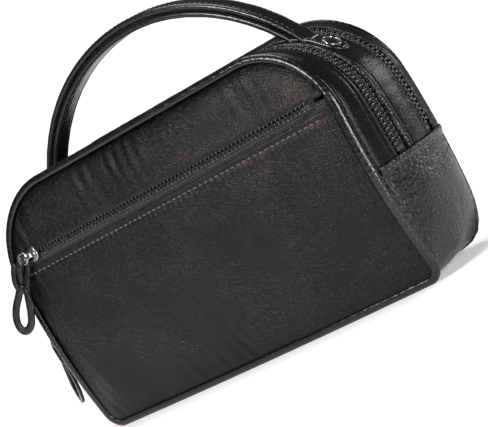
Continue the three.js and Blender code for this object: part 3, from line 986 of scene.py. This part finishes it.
def add_end_band(name, node, side):
    """Turned leather edge laid over the joint between the zipped top and the lower gusset."""
    heights = np.concatenate([[0.0, 0.15, 0.4, 0.8, 1.2, 1.6], np.linspace(2.1, 5.4, 9)])
    base = side_travel(SEAM_Z + 1.0, 0)
    travel = base - heights if side > 0 else RIM - base + heights
    across = spaced(-STRIP_RIM + 0.6, STRIP_RIM - 0.6, GUSSET_STEP)
    rim = edge_dive(STRIP_RIM - np.abs(across))
    proud = BAND_PROUD - turned(heights, 0.7) * 1.2 - 1.3 * smoothstep(2.4, 5.4, heights)
    proud = proud - 0.4 * bump(heights, 2.9, 0.55)
    outer = proud[:, None] - rim + 0.12 * value_noise(grid_of(travel, across), 4.5, 51)
    inner = np.broadcast_to(-0.4 - rim, outer.shape)
    upper, lower = carry(travel, across, outer), carry(travel, across, inner)
    # Painted highlight along the band's turned edge.
    edge = np.broadcast_to(bump(heights, 0.5, 0.6)[:, None] * 0.6, outer.shape)
    add_piece(
        name, slab(upper, lower), GUSSET, "bag", [node],
        {"edge": both_sides(edge)})
    spots = np.arange(-BAND_STITCH_HALF, BAND_STITCH_HALF + 0.1, BAND_STITCH_PITCH)
    line = base - BAND_STITCH_IN if side > 0 else RIM - base + BAND_STITCH_IN
    origin, (along, deep, outward) = rim_axes(np.full(len(spots), line), spots, 0.95)
    stitches = copies(stitch_template(2.3, 0.30), origin, (deep, -along, outward))
    add_piece(name + "_stitches", stitches, THREAD, "bag")


def add_gusset():
    near, far = ZIP_Y - WINDOW / 2, ZIP_Y + WINDOW / 2
    add_strip("front_strip", "top_front_strip", -STRIP_RIM, -far, (False, True), 61)
    add_strip("centre_strip", "top_centre_strip", -near, near, (True, True), 63)
    add_strip("back_strip", "top_back_strip", far, STRIP_RIM, (True, False), 65)
    add_lower_gusset()
    add_gusset_lining()
    add_end_band("left_end_fold", "left_end_band", -1)
    add_end_band("right_end_fold", "right_end_band", 1)


# ---- Things set down along the surface ----


PROBE = 0.05


def skin_axes(origin, ahead, beside, turn=1):
    """Origins with unit axes (ahead, across, outward), from points on the skin a little way off.

    Ahead, beside and outward follow the right hand, or the left where turn is -1.
    """
    along = unit(ahead - origin)
    outward = turn * unit(np.cross(along, beside - origin))
    return origin, (along, np.cross(outward, along), outward)


def rim_axes(travel, across, out):
    """Origins and unit axes (along the travel, across, outward) on the softened gusset."""

    def at(far, deep):
        return carry(travel + far, (across + deep)[:, None], out)[:, 0]

    return skin_axes(at(0, 0), at(PROBE, 0), at(0, PROBE), turn=-1)


def face_axes(x, z, depth):
    """Origins and unit axes (+X, up, outward) on the softened front face."""

    def at(right, up):
        return soften(stacked(x + right, -depth, z + up))

    return skin_axes(at(0, 0), at(PROBE, 0), at(0, PROBE))


def stitch_template(length, radius):
    """A thread stitch: thick in the middle, going down at both ends."""
    share = np.linspace(-1, 1, 9)
    size = radius * np.sqrt(np.maximum(1 - share**2 * 0.92, 0.05))
    lift = 0.22 * (1 - share**2) - 0.12
    share, size, lift = share[:, None], size[:, None], lift[:, None]
    turn = full_turn(8)
    return tube(stacked(share * length / 2, size * np.cos(turn), lift + size * np.sin(turn)))


def tooth_template(slant, size):
    """One moulded tooth: X along the zip, Y from the tape's side across the middle, Z out."""
    stations = [
        (-0.55, 0.26, 0.34), (-0.40, 0.42, 0.52), (0.05, 0.46, 0.60), (0.50, 0.36, 0.55),
        (1.15, 0.38, 0.60), (1.55, 0.66, 0.86), (2.05, 0.78, 1.00), (2.55, 0.74, 0.92),
        (2.85, 0.55, 0.62), (2.95, 0.30, 0.34),
    ]
    rings = []
    for reach, half, high in stations:
        section = round_section(half, high, min(half, high) * 0.7, 2)
        rings.append(stacked(section[:, 0] + slant * reach, reach, section[:, 1] * 0.8) * size)
    return tube(np.array(rings))


def mirrored(template):
    points, faces = template
    return points * np.array([1, -1, 1]), faces[:, ::-1]


def add_main_zip(name, side):
    lower, upper = ("inner", "outer") if side > 0 else ("outer", "inner")
    first, last = seam_travel(SEAM_Z + 1.0)
    travel = spaced(first, last, 1.2)
    for node_end, near, far in ((lower, -TAPE_FAR, -TAPE_NEAR), (upper, TAPE_NEAR, TAPE_FAR)):
        across = side * ZIP_Y + np.linspace(near, far, 10)
        cord = 0.55 * bump(np.abs(across - side * ZIP_Y), 2.6, 0.9)
        top = carry(travel, across, -TAPE_DROP + cord)
        bottom = carry(travel, across, -TAPE_DROP - TAPE_THICK)
        add_piece(
            f"{name}_zip_{node_end}_cloth", slab(top, bottom), TAPE, "bag",
            [f"{name}_zip_{node_end}_tape"], strip_marks(travel, across, np.zeros(len(across))))
    low, high = seam_travel(CHAIN_LOW)
    count = int((high - low) / TOOTH_PITCH)
    spots = low + TOOTH_PITCH * (np.arange(count) + 0.5)
    middle = np.full(count, side * ZIP_Y)
    tooth = tooth_template(slant=0.0, size=1.0)
    rows = [copies(shape, *rim_axes(spots + shift, middle, -TOOTH_DROP))
            for shape, shift in ((tooth, 0.0), (mirrored(tooth), TOOTH_PITCH / 2))]
    add_piece(
        f"{name}_zip_teeth", merged(rows), TEETH, "bag", [f"{name}_zip_chain"])
    travel = np.arange(low, high, 1.5)
    across = side * ZIP_Y + np.linspace(-CORE_HALF, CORE_HALF, 4)
    core = slab(carry(travel, across, CORE_TOP), carry(travel, across, CORE_BOTTOM))
    along = both_sides(np.repeat(travel[:, None], 4, 1))
    add_piece(f"{name}_zip_core", core, TAPE, "bag", marks={"along": along})


def add_pocket_zip():
    half = POCKET_CHAIN_HALF + POCKET_TAPE_PAST
    x = np.linspace(-half, half, 260)
    for node, near, far in (
        ("upper", POCKET_TAPE_NEAR, POCKET_TAPE_UP), ("lower", -POCKET_TAPE_DOWN, -POCKET_TAPE_NEAR)
    ):
        z = POCKET_Z + np.linspace(near, far, 9)
        grid_x, grid_z = np.meshgrid(x, z, indexing="ij")
        cord = 0.5 * bump(np.abs(grid_z - POCKET_Z), 1.9, 0.8)
        face = panel_face(grid_x, grid_z) - POCKET_TAPE_DROP
        top = soften(stacked(grid_x, -face - cord, grid_z))
        bottom = soften(stacked(grid_x, -face + TAPE_THICK, grid_z))
        add_piece(
            f"pocket_zip_{node}_cloth", slab(top, bottom), TAPE, "bag",
            [f"pocket_zip_{node}_tape"], strip_marks(x, z, np.zeros(len(z))))
    count = int(2 * POCKET_CHAIN_HALF / POCKET_TOOTH_PITCH)
    spots = -POCKET_CHAIN_HALF + POCKET_TOOTH_PITCH * (np.arange(count) + 0.5)
    template = tooth_template(slant=0.30, size=0.78)
    rows = []
    for shape, shift in ((template, 0.0), (mirrored(template), POCKET_TOOTH_PITCH / 2)):
        face = panel_face(spots + shift, np.full(count, POCKET_Z)) - TOOTH_DROP
        origin, axes = face_axes(spots + shift, POCKET_Z - 0.3, face)
        rows.append(copies(shape, origin, axes))
    add_piece("pocket_zip_teeth", merged(rows), TEETH, "bag", ["pocket_zip_chain"])


def add_pocket_stitches():
    x = np.arange(-POCKET_STITCH_HALF, POCKET_STITCH_HALF + 1, POCKET_STITCH_PITCH)
    z = POCKET_Z - POCKET_EDGE_DOWN - POCKET_STITCH_DROP
    depth = panel_face(x, np.full(len(x), z))
    origin, axes = face_axes(x, z, depth - 0.12)
    add_piece(
        "pocket_edge_stitches", copies(stitch_template(2.4, 0.42), origin, axes), THREAD,
        "bag")


def add_corner_patch():
    """Small leather fold that closes the pocket zip's right end."""
    right, up = np.meshgrid(np.linspace(-1, 1, 17), np.linspace(-1, 1, 11), indexing="ij")
    x = middle_mm("pocket_corner_patch")[0] + 4.5 * right
    z = POCKET_Z - 1.6 + 2.6 * up + 0.8 * right
    edge = np.minimum(1 - np.abs(right), 1 - np.abs(up))
    lift = 0.9 * np.sqrt(np.clip(edge * 2.2, 0, 1)) + 0.2 * bump(up, 0, 0.4)
    face = panel_face(x, z) - 1.2
    upper = soften(stacked(x, -(face + lift), z))
    lower = soften(stacked(x, -face + 0.5, z))
    # Painted highlight round the fold's edges.
    add_piece(
        "pocket_zip_corner_fold", slab(upper, lower), PANEL, "bag",
        ["pocket_corner_patch"], {"edge": both_sides(0.4 * bump(edge, 0.1, 0.2))})


# ---- Sliders and pulls ----


def seat(point, travel, sideways):
    """Frame on the softened surface: X along the travel, Z pointing out of the bag."""
    point = np.array(point, float)
    return skin_axes(soften(point), soften(point + travel), soften(point + sideways))


def place(shape, at):
    points, faces = shape
    origin, axes = at
    return points @ np.stack(axes) + origin, faces


def lofted_plate(plan, layers):
    """A plate whose plan shrinks and grows: layers are (height, inset), the lowest first."""
    outline = np.array(plan, float)
    centre = outline.mean(axis=0)
    rings = []
    for height, inset in layers:
        away = outline - centre
        length = np.linalg.norm(away, axis=1, keepdims=True)
        level = centre + away * (1 - inset / length)
        rings.append(stacked(level[:, 0], level[:, 1], height))
    return tube(np.array(rings))


def slider_shape():
    """Zip slider: waisted top plate with rolled flanges, an arched bridge for the pull, and a nose."""
    half = [(5.2, 1.6), (4.4, 3.0), (3.0, 3.9), (1.6, 4.0), (-0.6, 3.4), (-3.2, 2.8), (-5.0, 2.7),
            (-5.6, 2.2), (-5.7, 0.9)]
    plate = lofted_plate(
        half + [(x, -y) for x, y in half[::-1]],
        [(-0.2, 0.5), (0.1, 0.1), (0.5, 0.0), (1.2, 0.0), (1.6, 0.15), (1.85, 0.55), (1.9, 1.1)])
    sweep = np.radians(np.linspace(188, -8, 26))
    path = stacked(BRIDGE_HALF * np.cos(sweep), 0.0, BRIDGE_FOOT + BRIDGE_ARCH * np.sin(sweep))
    normals = stacked(np.cos(sweep), 0.0, np.sin(sweep))
    bridge = ribbon(path, normals, round_section(1.35, 0.5, 0.35, 3))
    nose_plan = [(5.0, 0.0), (4.6, 0.9), (3.6, 1.2), (2.8, 0.9), (2.6, 0.0), (2.8, -0.9),
                 (3.6, -1.2), (4.6, -0.9)]
    nose = lofted_plate(nose_plan, [(1.6, 0.0), (2.3, 0.05), (2.7, 0.35)])
    return merged([plate, bridge, nose])


def ring_shape(tilt):
    """Wire ring hanging from the bridge, tilted out from the surface."""
    turn = full_turn(48)
    squeeze = 1 + 0.06 * np.cos(2 * turn)
    path = stacked(
        RING_RADIUS * squeeze * np.cos(turn) - RING_RADIUS, RING_RADIUS * 0.92 * np.sin(turn), 0.0)
    wire = round_section(RING_WIRE, RING_WIRE, RING_WIRE * 0.95, 3)
    return lifted(ribbon(path, OUTWARD, wire, loop=True), tilt)


def lifted(shape, tilt):
    """Turns a pull outwards about its bridge, and raises it to the bridge's height."""
    points, faces = shape
    turn = Matrix.Rotation(math.radians(tilt), 3, "Y")
    return points @ np.array(turn).T + np.array([0, 0, BRIDGE_HEIGHT]), faces


def lace_parts(twist, length):
    """Flat lace doubled through the ring: two strands, a wrapped keeper, the loop and two cut tails.

    The lace's own axes are side, down and out; twist turns the loop about its hanging line.
    """
    reach = length / LACE_DRAWN
    loop = curve_through([
        (-1.0, -1.9, 0.7), (-1.5, 1.2, 1.3), (-1.7, 6.0, 1.0), (-1.8, 12.0, 0.3), (-3.2, 18.5, 0.1),
        (-5.0, 26.0, 0.2), (-4.9, 32.5, 0.3), (-2.9, 36.8, 0.2), (0.0, 38.2, 0.0),
        (2.9, 36.8, -0.2), (4.9, 32.5, -0.3), (4.7, 26.0, -0.2), (3.2, 18.5, -0.1),
        (1.8, 12.0, -0.3), (1.7, 6.0, -1.0), (1.5, 1.2, -1.3), (1.0, -1.9, -0.7),
    ], per_span=8, loop=True) * np.array([1.0, reach, 1.0])
    strap = round_section(2.1, 0.85, 0.5, 3)
    turn = full_turn(32)
    keeper_path = stacked(3.3 * np.cos(turn), 12.6, 1.9 * np.sin(turn))
    keeper_out = stacked(np.cos(turn), 0.0, np.sin(turn))
    keeper = ribbon(keeper_path, keeper_out, round_section(1.9, 0.65, 0.4, 3), loop=True)
    short = curve_through([(-2.2, 13.5, 1.6), (-4.0, 10.0, 2.1), (-4.9, 5.0, 2.0), (-5.0, 0.6, 1.5)])
    thin = curve_through([(2.0, 11.5, 1.7), (4.4, 13.6, 2.4), (7.4, 18.2, 2.4), (8.8, 21.0, 1.9)])
    parts = [ribbon(loop, OUTWARD, strap, loop=True), keeper]
    for tail, width in ((short, 1.5), (thin, 1.2)):
        share = np.linspace(0, 1, len(tail))
        narrow = np.sqrt(np.clip(1 - np.clip((share - 0.86) / 0.15, 0, 1) ** 2, 0.02, 1))
        section = round_section(width, 0.7, 0.4, 3)[None] * stacked(narrow, 1.0)[:, None]
        parts.append(ribbon(tail, OUTWARD, section))
    points, faces = merged(parts)
    spin = math.radians(twist) * smoothstep(2, 16, points[:, 1])
    side = points[:, 0] * np.cos(spin) + points[:, 2] * np.sin(spin)
    out = -points[:, 0] * np.sin(spin) + points[:, 2] * np.cos(spin)
    return stacked(side, points[:, 1], out), faces


def lace_shape(lean, twist, tilt, length, hug):
    """The lace hung from its ring: lean turns it about the outward axis, and hug curves it inwards."""
    points, faces = lace_parts(twist, length)
    points[:, 2] -= hug * np.maximum(points[:, 1] / length, 0) ** 2
    down = math.radians(lean)
    side_axis = np.array([math.cos(down), -math.sin(down), 0.0])
    down_axis = np.array([-math.sin(down), -math.cos(down), 0.0])
    hung = points @ np.stack([side_axis, down_axis, OUTWARD])
    start = np.array([-RING_RADIUS, 0.0, 0.0]) + RING_RADIUS * down_axis
    return lifted((hung + start, faces), tilt)


def add_slider(name, at, lean, twist, tilt, length, hug):
    add_piece(
        f"{name}_slider_body", place(slider_shape(), at), METAL, f"{name}_slider",
        [f"{name}_slider"])
    add_piece(
        f"{name}_ring", place(ring_shape(tilt), at), METAL, f"{name}_pull",
        [f"{name}_pull_ring"])
    lace = place(lace_shape(lean, twist, tilt, length, hug), at)
    edge = value_noise(lace[0], 3.0, 71) * 0.4 + 0.3
    add_piece(
        f"{name}_lace", lace, TRIM, f"{name}_pull", [f"{name}_pull_lace"],
        {"edge": edge})


def add_sliders():
    for name, side, twist, hug in (("front", -1, 38, 1.2), ("rear", 1, 6, -1.5)):
        at = seat((-LENGTH / 2, side * ZIP_Y, SLIDER_Z), (0, 0, 1), (0, 1, 0))
        add_slider(name, at, 90, twist, PULL_TILT, MAIN_LACE, hug)
    at = seat((POCKET_SLIDER_X, -DEPTH / 2, POCKET_Z), (1, 0, 0), (0, 0, 1))
    add_slider("pocket", at, 34, 0, 0, POCKET_LACE, 0)


# ---- Handle ----


def arc_line(radius, ends, step):
    """Points, outward normals and angles on the handle's arc, by degrees from its crest."""
    low, high = ends
    turn = np.radians(np.arange(low, high + step / 2, step))
    centre_z = CREST - HANDLE_RADIUS
    line = stacked(HANDLE_SHIFT + radius * np.sin(turn), 0.0, centre_z + radius * np.cos(turn))
    return line, stacked(np.sin(turn), 0.0, np.cos(turn)), turn


def strap_section(width, thick, roll):
    """Half-round edges, and a shallow channel beside each where it is stitched; also painted highlight
    marks along the edges.
    """
    across = spaced(-width / 2, width / 2, 0.7)
    inner = width / 2 - np.abs(across)
    drop = turned(inner, roll)
    channel = 0.3 * bump(inner, STRAP_CHANNEL_IN, 0.42)
    outer = thick / 2 - drop - channel
    lower = -(thick / 2 - turned(inner, thick / 2 * 0.98))
    lower = np.minimum(lower, outer - 0.02)
    # The last value is painted highlight along the strap's edges.
    return across, outer, lower, 0.4 * bump(inner, 0.8, 0.9)


def add_strap(name, node, radius, ends, seed, flip):
    """One leather layer of the strap; the under layer is flipped, its stitched face inwards."""
    line, normal, turn = arc_line(radius, ends, 0.35)
    across, outer, lower, edge = strap_section(STRAP_WIDTH, STRAP_LAYER, 1.5)
    if flip:
        outer, lower = -lower, -outer
    wobble = 0.07 * value_noise(grid_of(turn * radius, across), 5, seed)
    narrow = 1 - 0.06 * smoothstep(40, 56, np.abs(np.degrees(turn)))
    flat = line[:, None] + (across[None, :] * narrow[:, None])[..., None] * SIDEWAYS

    def skin(height):
        return flat + (height + wobble)[..., None] * normal[:, None]

    marks = strip_marks(turn * radius, across, edge)
    shape = slab(skin(outer), skin(lower))
    bend(add_piece(name, shape, TRIM, None, [node], marks))


def bend(piece):
    """Bakes the piece's placement into its mesh points; the strap itself is not bent here."""
    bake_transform(piece)


def add_strap_stitches(radius):
    """Two rows of stitches on the strap's outer face."""
    step = math.degrees(STRAP_STITCH_PITCH / radius)
    line, normal, turn = arc_line(radius, STRAP_STITCH_ENDS, step)
    along = stacked(np.cos(turn), 0.0, -np.sin(turn))
    deep = np.broadcast_to(SIDEWAYS, line.shape)
    rows = []
    for side in (-1, 1):
        origin = line + deep * side * (STRAP_WIDTH / 2 - STRAP_CHANNEL_IN)
        rows.append(copies(stitch_template(2.0, 0.26), origin, (along, deep, normal)))
    bend(add_piece("handle_stitches", merged(rows), DARK_THREAD, None))


def add_tongue(name, node, side):
    """Flat end of the handle lying round the top corner, its tip rounded past the rivet."""
    degrees = np.linspace(*TONGUE_ENDS, 100)
    travel = ARC_TRAVEL + TOP_RADIUS * np.radians(90 - degrees)
    if side < 0:
        travel = RIM - travel
    share = spaced(-TONGUE_WIDTH / 2, TONGUE_WIDTH / 2, 0.6) / (TONGUE_WIDTH / 2)
    to_tip = (degrees[-1] - degrees) * math.pi / 180 * TOP_RADIUS
    rounding = np.clip(1 - to_tip / TONGUE_TIP, 0, 1)
    half = TONGUE_WIDTH / 2 * np.sqrt(np.clip(1 - rounding**2, 0.004, 1))
    across = half[:, None] * share[None, :]
    inner = np.minimum(half[:, None] - np.abs(across), to_tip[:, None] * 1.2 + 0.02)
    rise = 1.9 - 0.6 * smoothstep(36, 48, degrees)[:, None]
    high = rise - turned(inner, 0.9) - 0.35 * bump(inner, 1.7, 0.35)
    seam = 38 if side > 0 else 21
    ridge = 0.5 * bump(degrees, seam, 1.0) - 0.4 * bump(degrees, seam + 2.0, 0.8)
    upper = carry(travel, across, high + ridge[:, None] * smoothstep(0.2, 1.2, inner))
    lower = carry(travel, across, 0.1)
    # Painted highlight along the tongue's edges.
    edge = 0.35 * bump(inner, 0.6, 0.8)
    add_piece(
        name, slab(upper, lower), TRIM, "bag", [node], {"edge": both_sides(edge)})


def revolved(profile, steps):
    """A profile of (radius, height) turned about Z: a row of points round Z for each of its points."""
    radius, height = np.array(profile).T[:, :, None]
    turn = full_turn(steps)
    return stacked(radius * np.cos(turn), radius * np.sin(turn), height)


def add_rivet(name, node, side):
    angle = math.radians(RIVET_ANGLE)
    point = (
        side * (LENGTH / 2 - TOP_RADIUS + TOP_RADIUS * math.sin(angle)), 0.0,
        HEIGHT - TOP_RADIUS + TOP_RADIUS * math.cos(angle))
    at = seat(point, (math.cos(angle), 0, -side * math.sin(angle)), (0, 1, 0))
    bead = [(4.75, 1.1), (4.8, 1.5), (4.65, 1.9), (4.4, 2.0), (4.15, 1.85), (4.05, 1.5), (4.1, 1.1),
            (4.4, 0.95)]
    dome = [(0.3, 0.6), (4.0, 0.7), (4.15, 1.1), (4.1, 1.4), (3.7, 1.45), (2.0, 1.25), (0.02, 1.2)]
    ring = tube(revolved(bead, 64).swapaxes(0, 1), loop=True)
    cap = tube(revolved(dome, 40))
    add_piece(f"{name}_ring", place(ring, at), METAL, "bag", [node])
    add_piece(f"{name}_cap", place(cap, at), DARK_CAP, "bag")


def add_handle():
    outer = HANDLE_RADIUS - STRAP_LAYER / 2
    inner = outer - STRAP_LAYER - STRAP_GROOVE
    add_strap("handle_top_leather", "handle_outer_strap", outer, OUTER_STRAP_ENDS, 81, False)
    add_strap("handle_under_leather", "handle_inner_strap", inner, INNER_STRAP_ENDS, 83, True)
    add_strap_stitches(HANDLE_RADIUS - 0.12)
    for name, side in (("left", -1), ("right", 1)):
        add_tongue(f"handle_{name}_flap", f"handle_{name}_tongue", side)
        add_rivet(f"handle_{name}_snap", f"handle_{name}_rivet", side)


# ---- Finishes of the frame's own hidden pieces ----


def dress_frame():
    ends = ("left", "right")
    finishes = [
        (LINING, ["front_backing", "front_lining", "back_lining", "divider"]),
        (BOARD, ["base_board", "handle_core"]),
        (TEETH, [f"{zip_name}_zip_{end}_stop" for zip_name in ("front", "rear") for end in ends]),
        (METAL, [f"handle_{end}_rivet_washer" for end in ends]),
    ]
    for material, nodes in finishes:
        for node in nodes:
            mesh = frame["nodes"][node].data
            mesh.materials.clear()
            mesh.materials.append(material)


# ---- Room, light and camera ----

AIM = np.array([0.0, 0.0, 0.07])
BACKDROP_STRENGTH = 1.1
AMBIENT_STRENGTH = 0.08
FLOOR_SIZE = 1.3
FLOOR_GLOW = 0.33


def white_stock():
    finish = Finish("studio_paper")
    fleck = finish.band(finish.noise(9.0, detail=4.0), 0.3, 0.7)
    finish.relief(finish.times(fleck, 0.02))
    return finish.set(
        Base_Color=finish.mix(fleck, colour(0.92, 0.92, 0.92), colour(0.95, 0.95, 0.95)),
        Roughness=0.9, Specular_IOR_Level=0.1,
        Emission_Color=colour(1.0, 1.0, 1.0), Emission_Strength=FLOOR_GLOW)


def add_floor():
    bpy.ops.mesh.primitive_plane_add(size=FLOOR_SIZE, location=(0, 0, cad_box[0][2]))
    floor = bpy.context.object
    floor.name = "studio_floor"
    floor.data.materials.append(white_stock())


def direction(azimuth, elevation):
    """Unit vector away from the bag; azimuth 0 is in front of it and 90 at its +X end."""
    around, up = math.radians(azimuth), math.radians(elevation)
    return np.array([
        math.sin(around) * math.cos(up), -math.cos(around) * math.cos(up), math.sin(up)])


def add_softbox(name, azimuth, elevation, distance, size, power, tint=(1, 1, 1)):
    """A rectangular light aimed at the bag's middle; sizes and distance are in metres."""
    away = direction(azimuth, elevation)
    data = bpy.data.lights.new(name, "AREA")
    data.shape = "RECTANGLE"
    data.size, data.size_y = size
    data.energy = power
    data.color = tint
    light = bpy.data.objects.new(name, data)
    bpy.context.scene.collection.objects.link(light)
    light.location = AIM + away * distance
    light.rotation_mode = "QUATERNION"
    light.rotation_quaternion = Vector(-away).to_track_quat("-Z", "Y")


def add_world():
    """A white backdrop that only the camera sees, and a faint cool light from all round."""
    world = bpy.data.worlds.new("studio")
    world.use_nodes = True
    tree = world.node_tree
    seen = tree.nodes["Background"]
    seen.inputs["Color"].default_value = colour(1, 1, 1)
    seen.inputs["Strength"].default_value = BACKDROP_STRENGTH
    ambient = tree.nodes.new("ShaderNodeBackground")
    ambient.inputs["Color"].default_value = colour(0.95, 0.97, 1.0)
    ambient.inputs["Strength"].default_value = AMBIENT_STRENGTH
    choice = tree.nodes.new("ShaderNodeMixShader")
    path = tree.nodes.new("ShaderNodeLightPath")
    tree.links.new(path.outputs["Is Camera Ray"], choice.inputs[0])
    tree.links.new(ambient.outputs[0], choice.inputs[1])
    tree.links.new(seen.outputs[0], choice.inputs[2])
    tree.links.new(choice.outputs[0], tree.nodes["World Output"].inputs["Surface"])
    bpy.context.scene.world = world


# Camera in degrees, metres and millimetres of lens
CAMERA_AZIMUTH = 36.48
CAMERA_ELEVATION = 3.81
CAMERA_ROLL = 30.14
CAMERA_DISTANCE = 1.10396
CAMERA_LENS = 162.15
CAMERA_SHIFT_RIGHT = 0.00853
CAMERA_SHIFT_UP = 0.06705


def add_camera():
    around, roll = math.radians(CAMERA_AZIMUTH), math.radians(CAMERA_ROLL)
    back = direction(CAMERA_AZIMUTH, CAMERA_ELEVATION)
    right = np.array([math.cos(around), math.sin(around), 0.0])
    above = np.cross(back, right)
    where = back * CAMERA_DISTANCE + right * CAMERA_SHIFT_RIGHT + above * CAMERA_SHIFT_UP
    camera_x = right * math.cos(roll) - above * math.sin(roll)
    camera_y = right * math.sin(roll) + above * math.cos(roll)
    matrix = np.eye(4)
    matrix[:3] = stacked(camera_x, camera_y, back, where)
    data = bpy.data.cameras.new("camera")
    data.lens = CAMERA_LENS
    data.sensor_width = 36.0
    data.clip_start = 0.01
    camera = bpy.data.objects.new("camera", data)
    camera.matrix_world = Matrix(matrix.tolist())
    bpy.context.scene.collection.objects.link(camera)
    bpy.context.scene.camera = camera


add_camera()
add_world()
add_floor()
add_softbox("overhead", 190, 78, 1.7, size=(1.0, 1.0), power=19)
add_softbox("rim", 146, 12, 1.6, size=(0.5, 0.5), power=8, tint=(0.95, 0.95, 1.0))
add_softbox("sheen", -12, 28, 1.7, size=(0.5, 0.5), power=23, tint=(1.0, 0.95, 0.91))
add_softbox("fill", -46, 4, 1.9, size=(0.6, 0.3), power=0.8, tint=(1.0, 0.94, 0.90))
add_softbox("key", 56, 6, 1.7, size=(0.3, 0.7), power=16)
add_panels()
add_piping("front_piping_cord", "front_piping", -1)
add_piping("back_piping_cord", "back_piping", 1)
add_gusset()
add_main_zip("front", -1)
add_main_zip("rear", 1)
add_pocket_zip()
add_pocket_stitches()
add_corner_patch()
add_sliders()
add_handle()
dress_frame()
bpy.context.scene.view_settings.view_transform = "Standard"
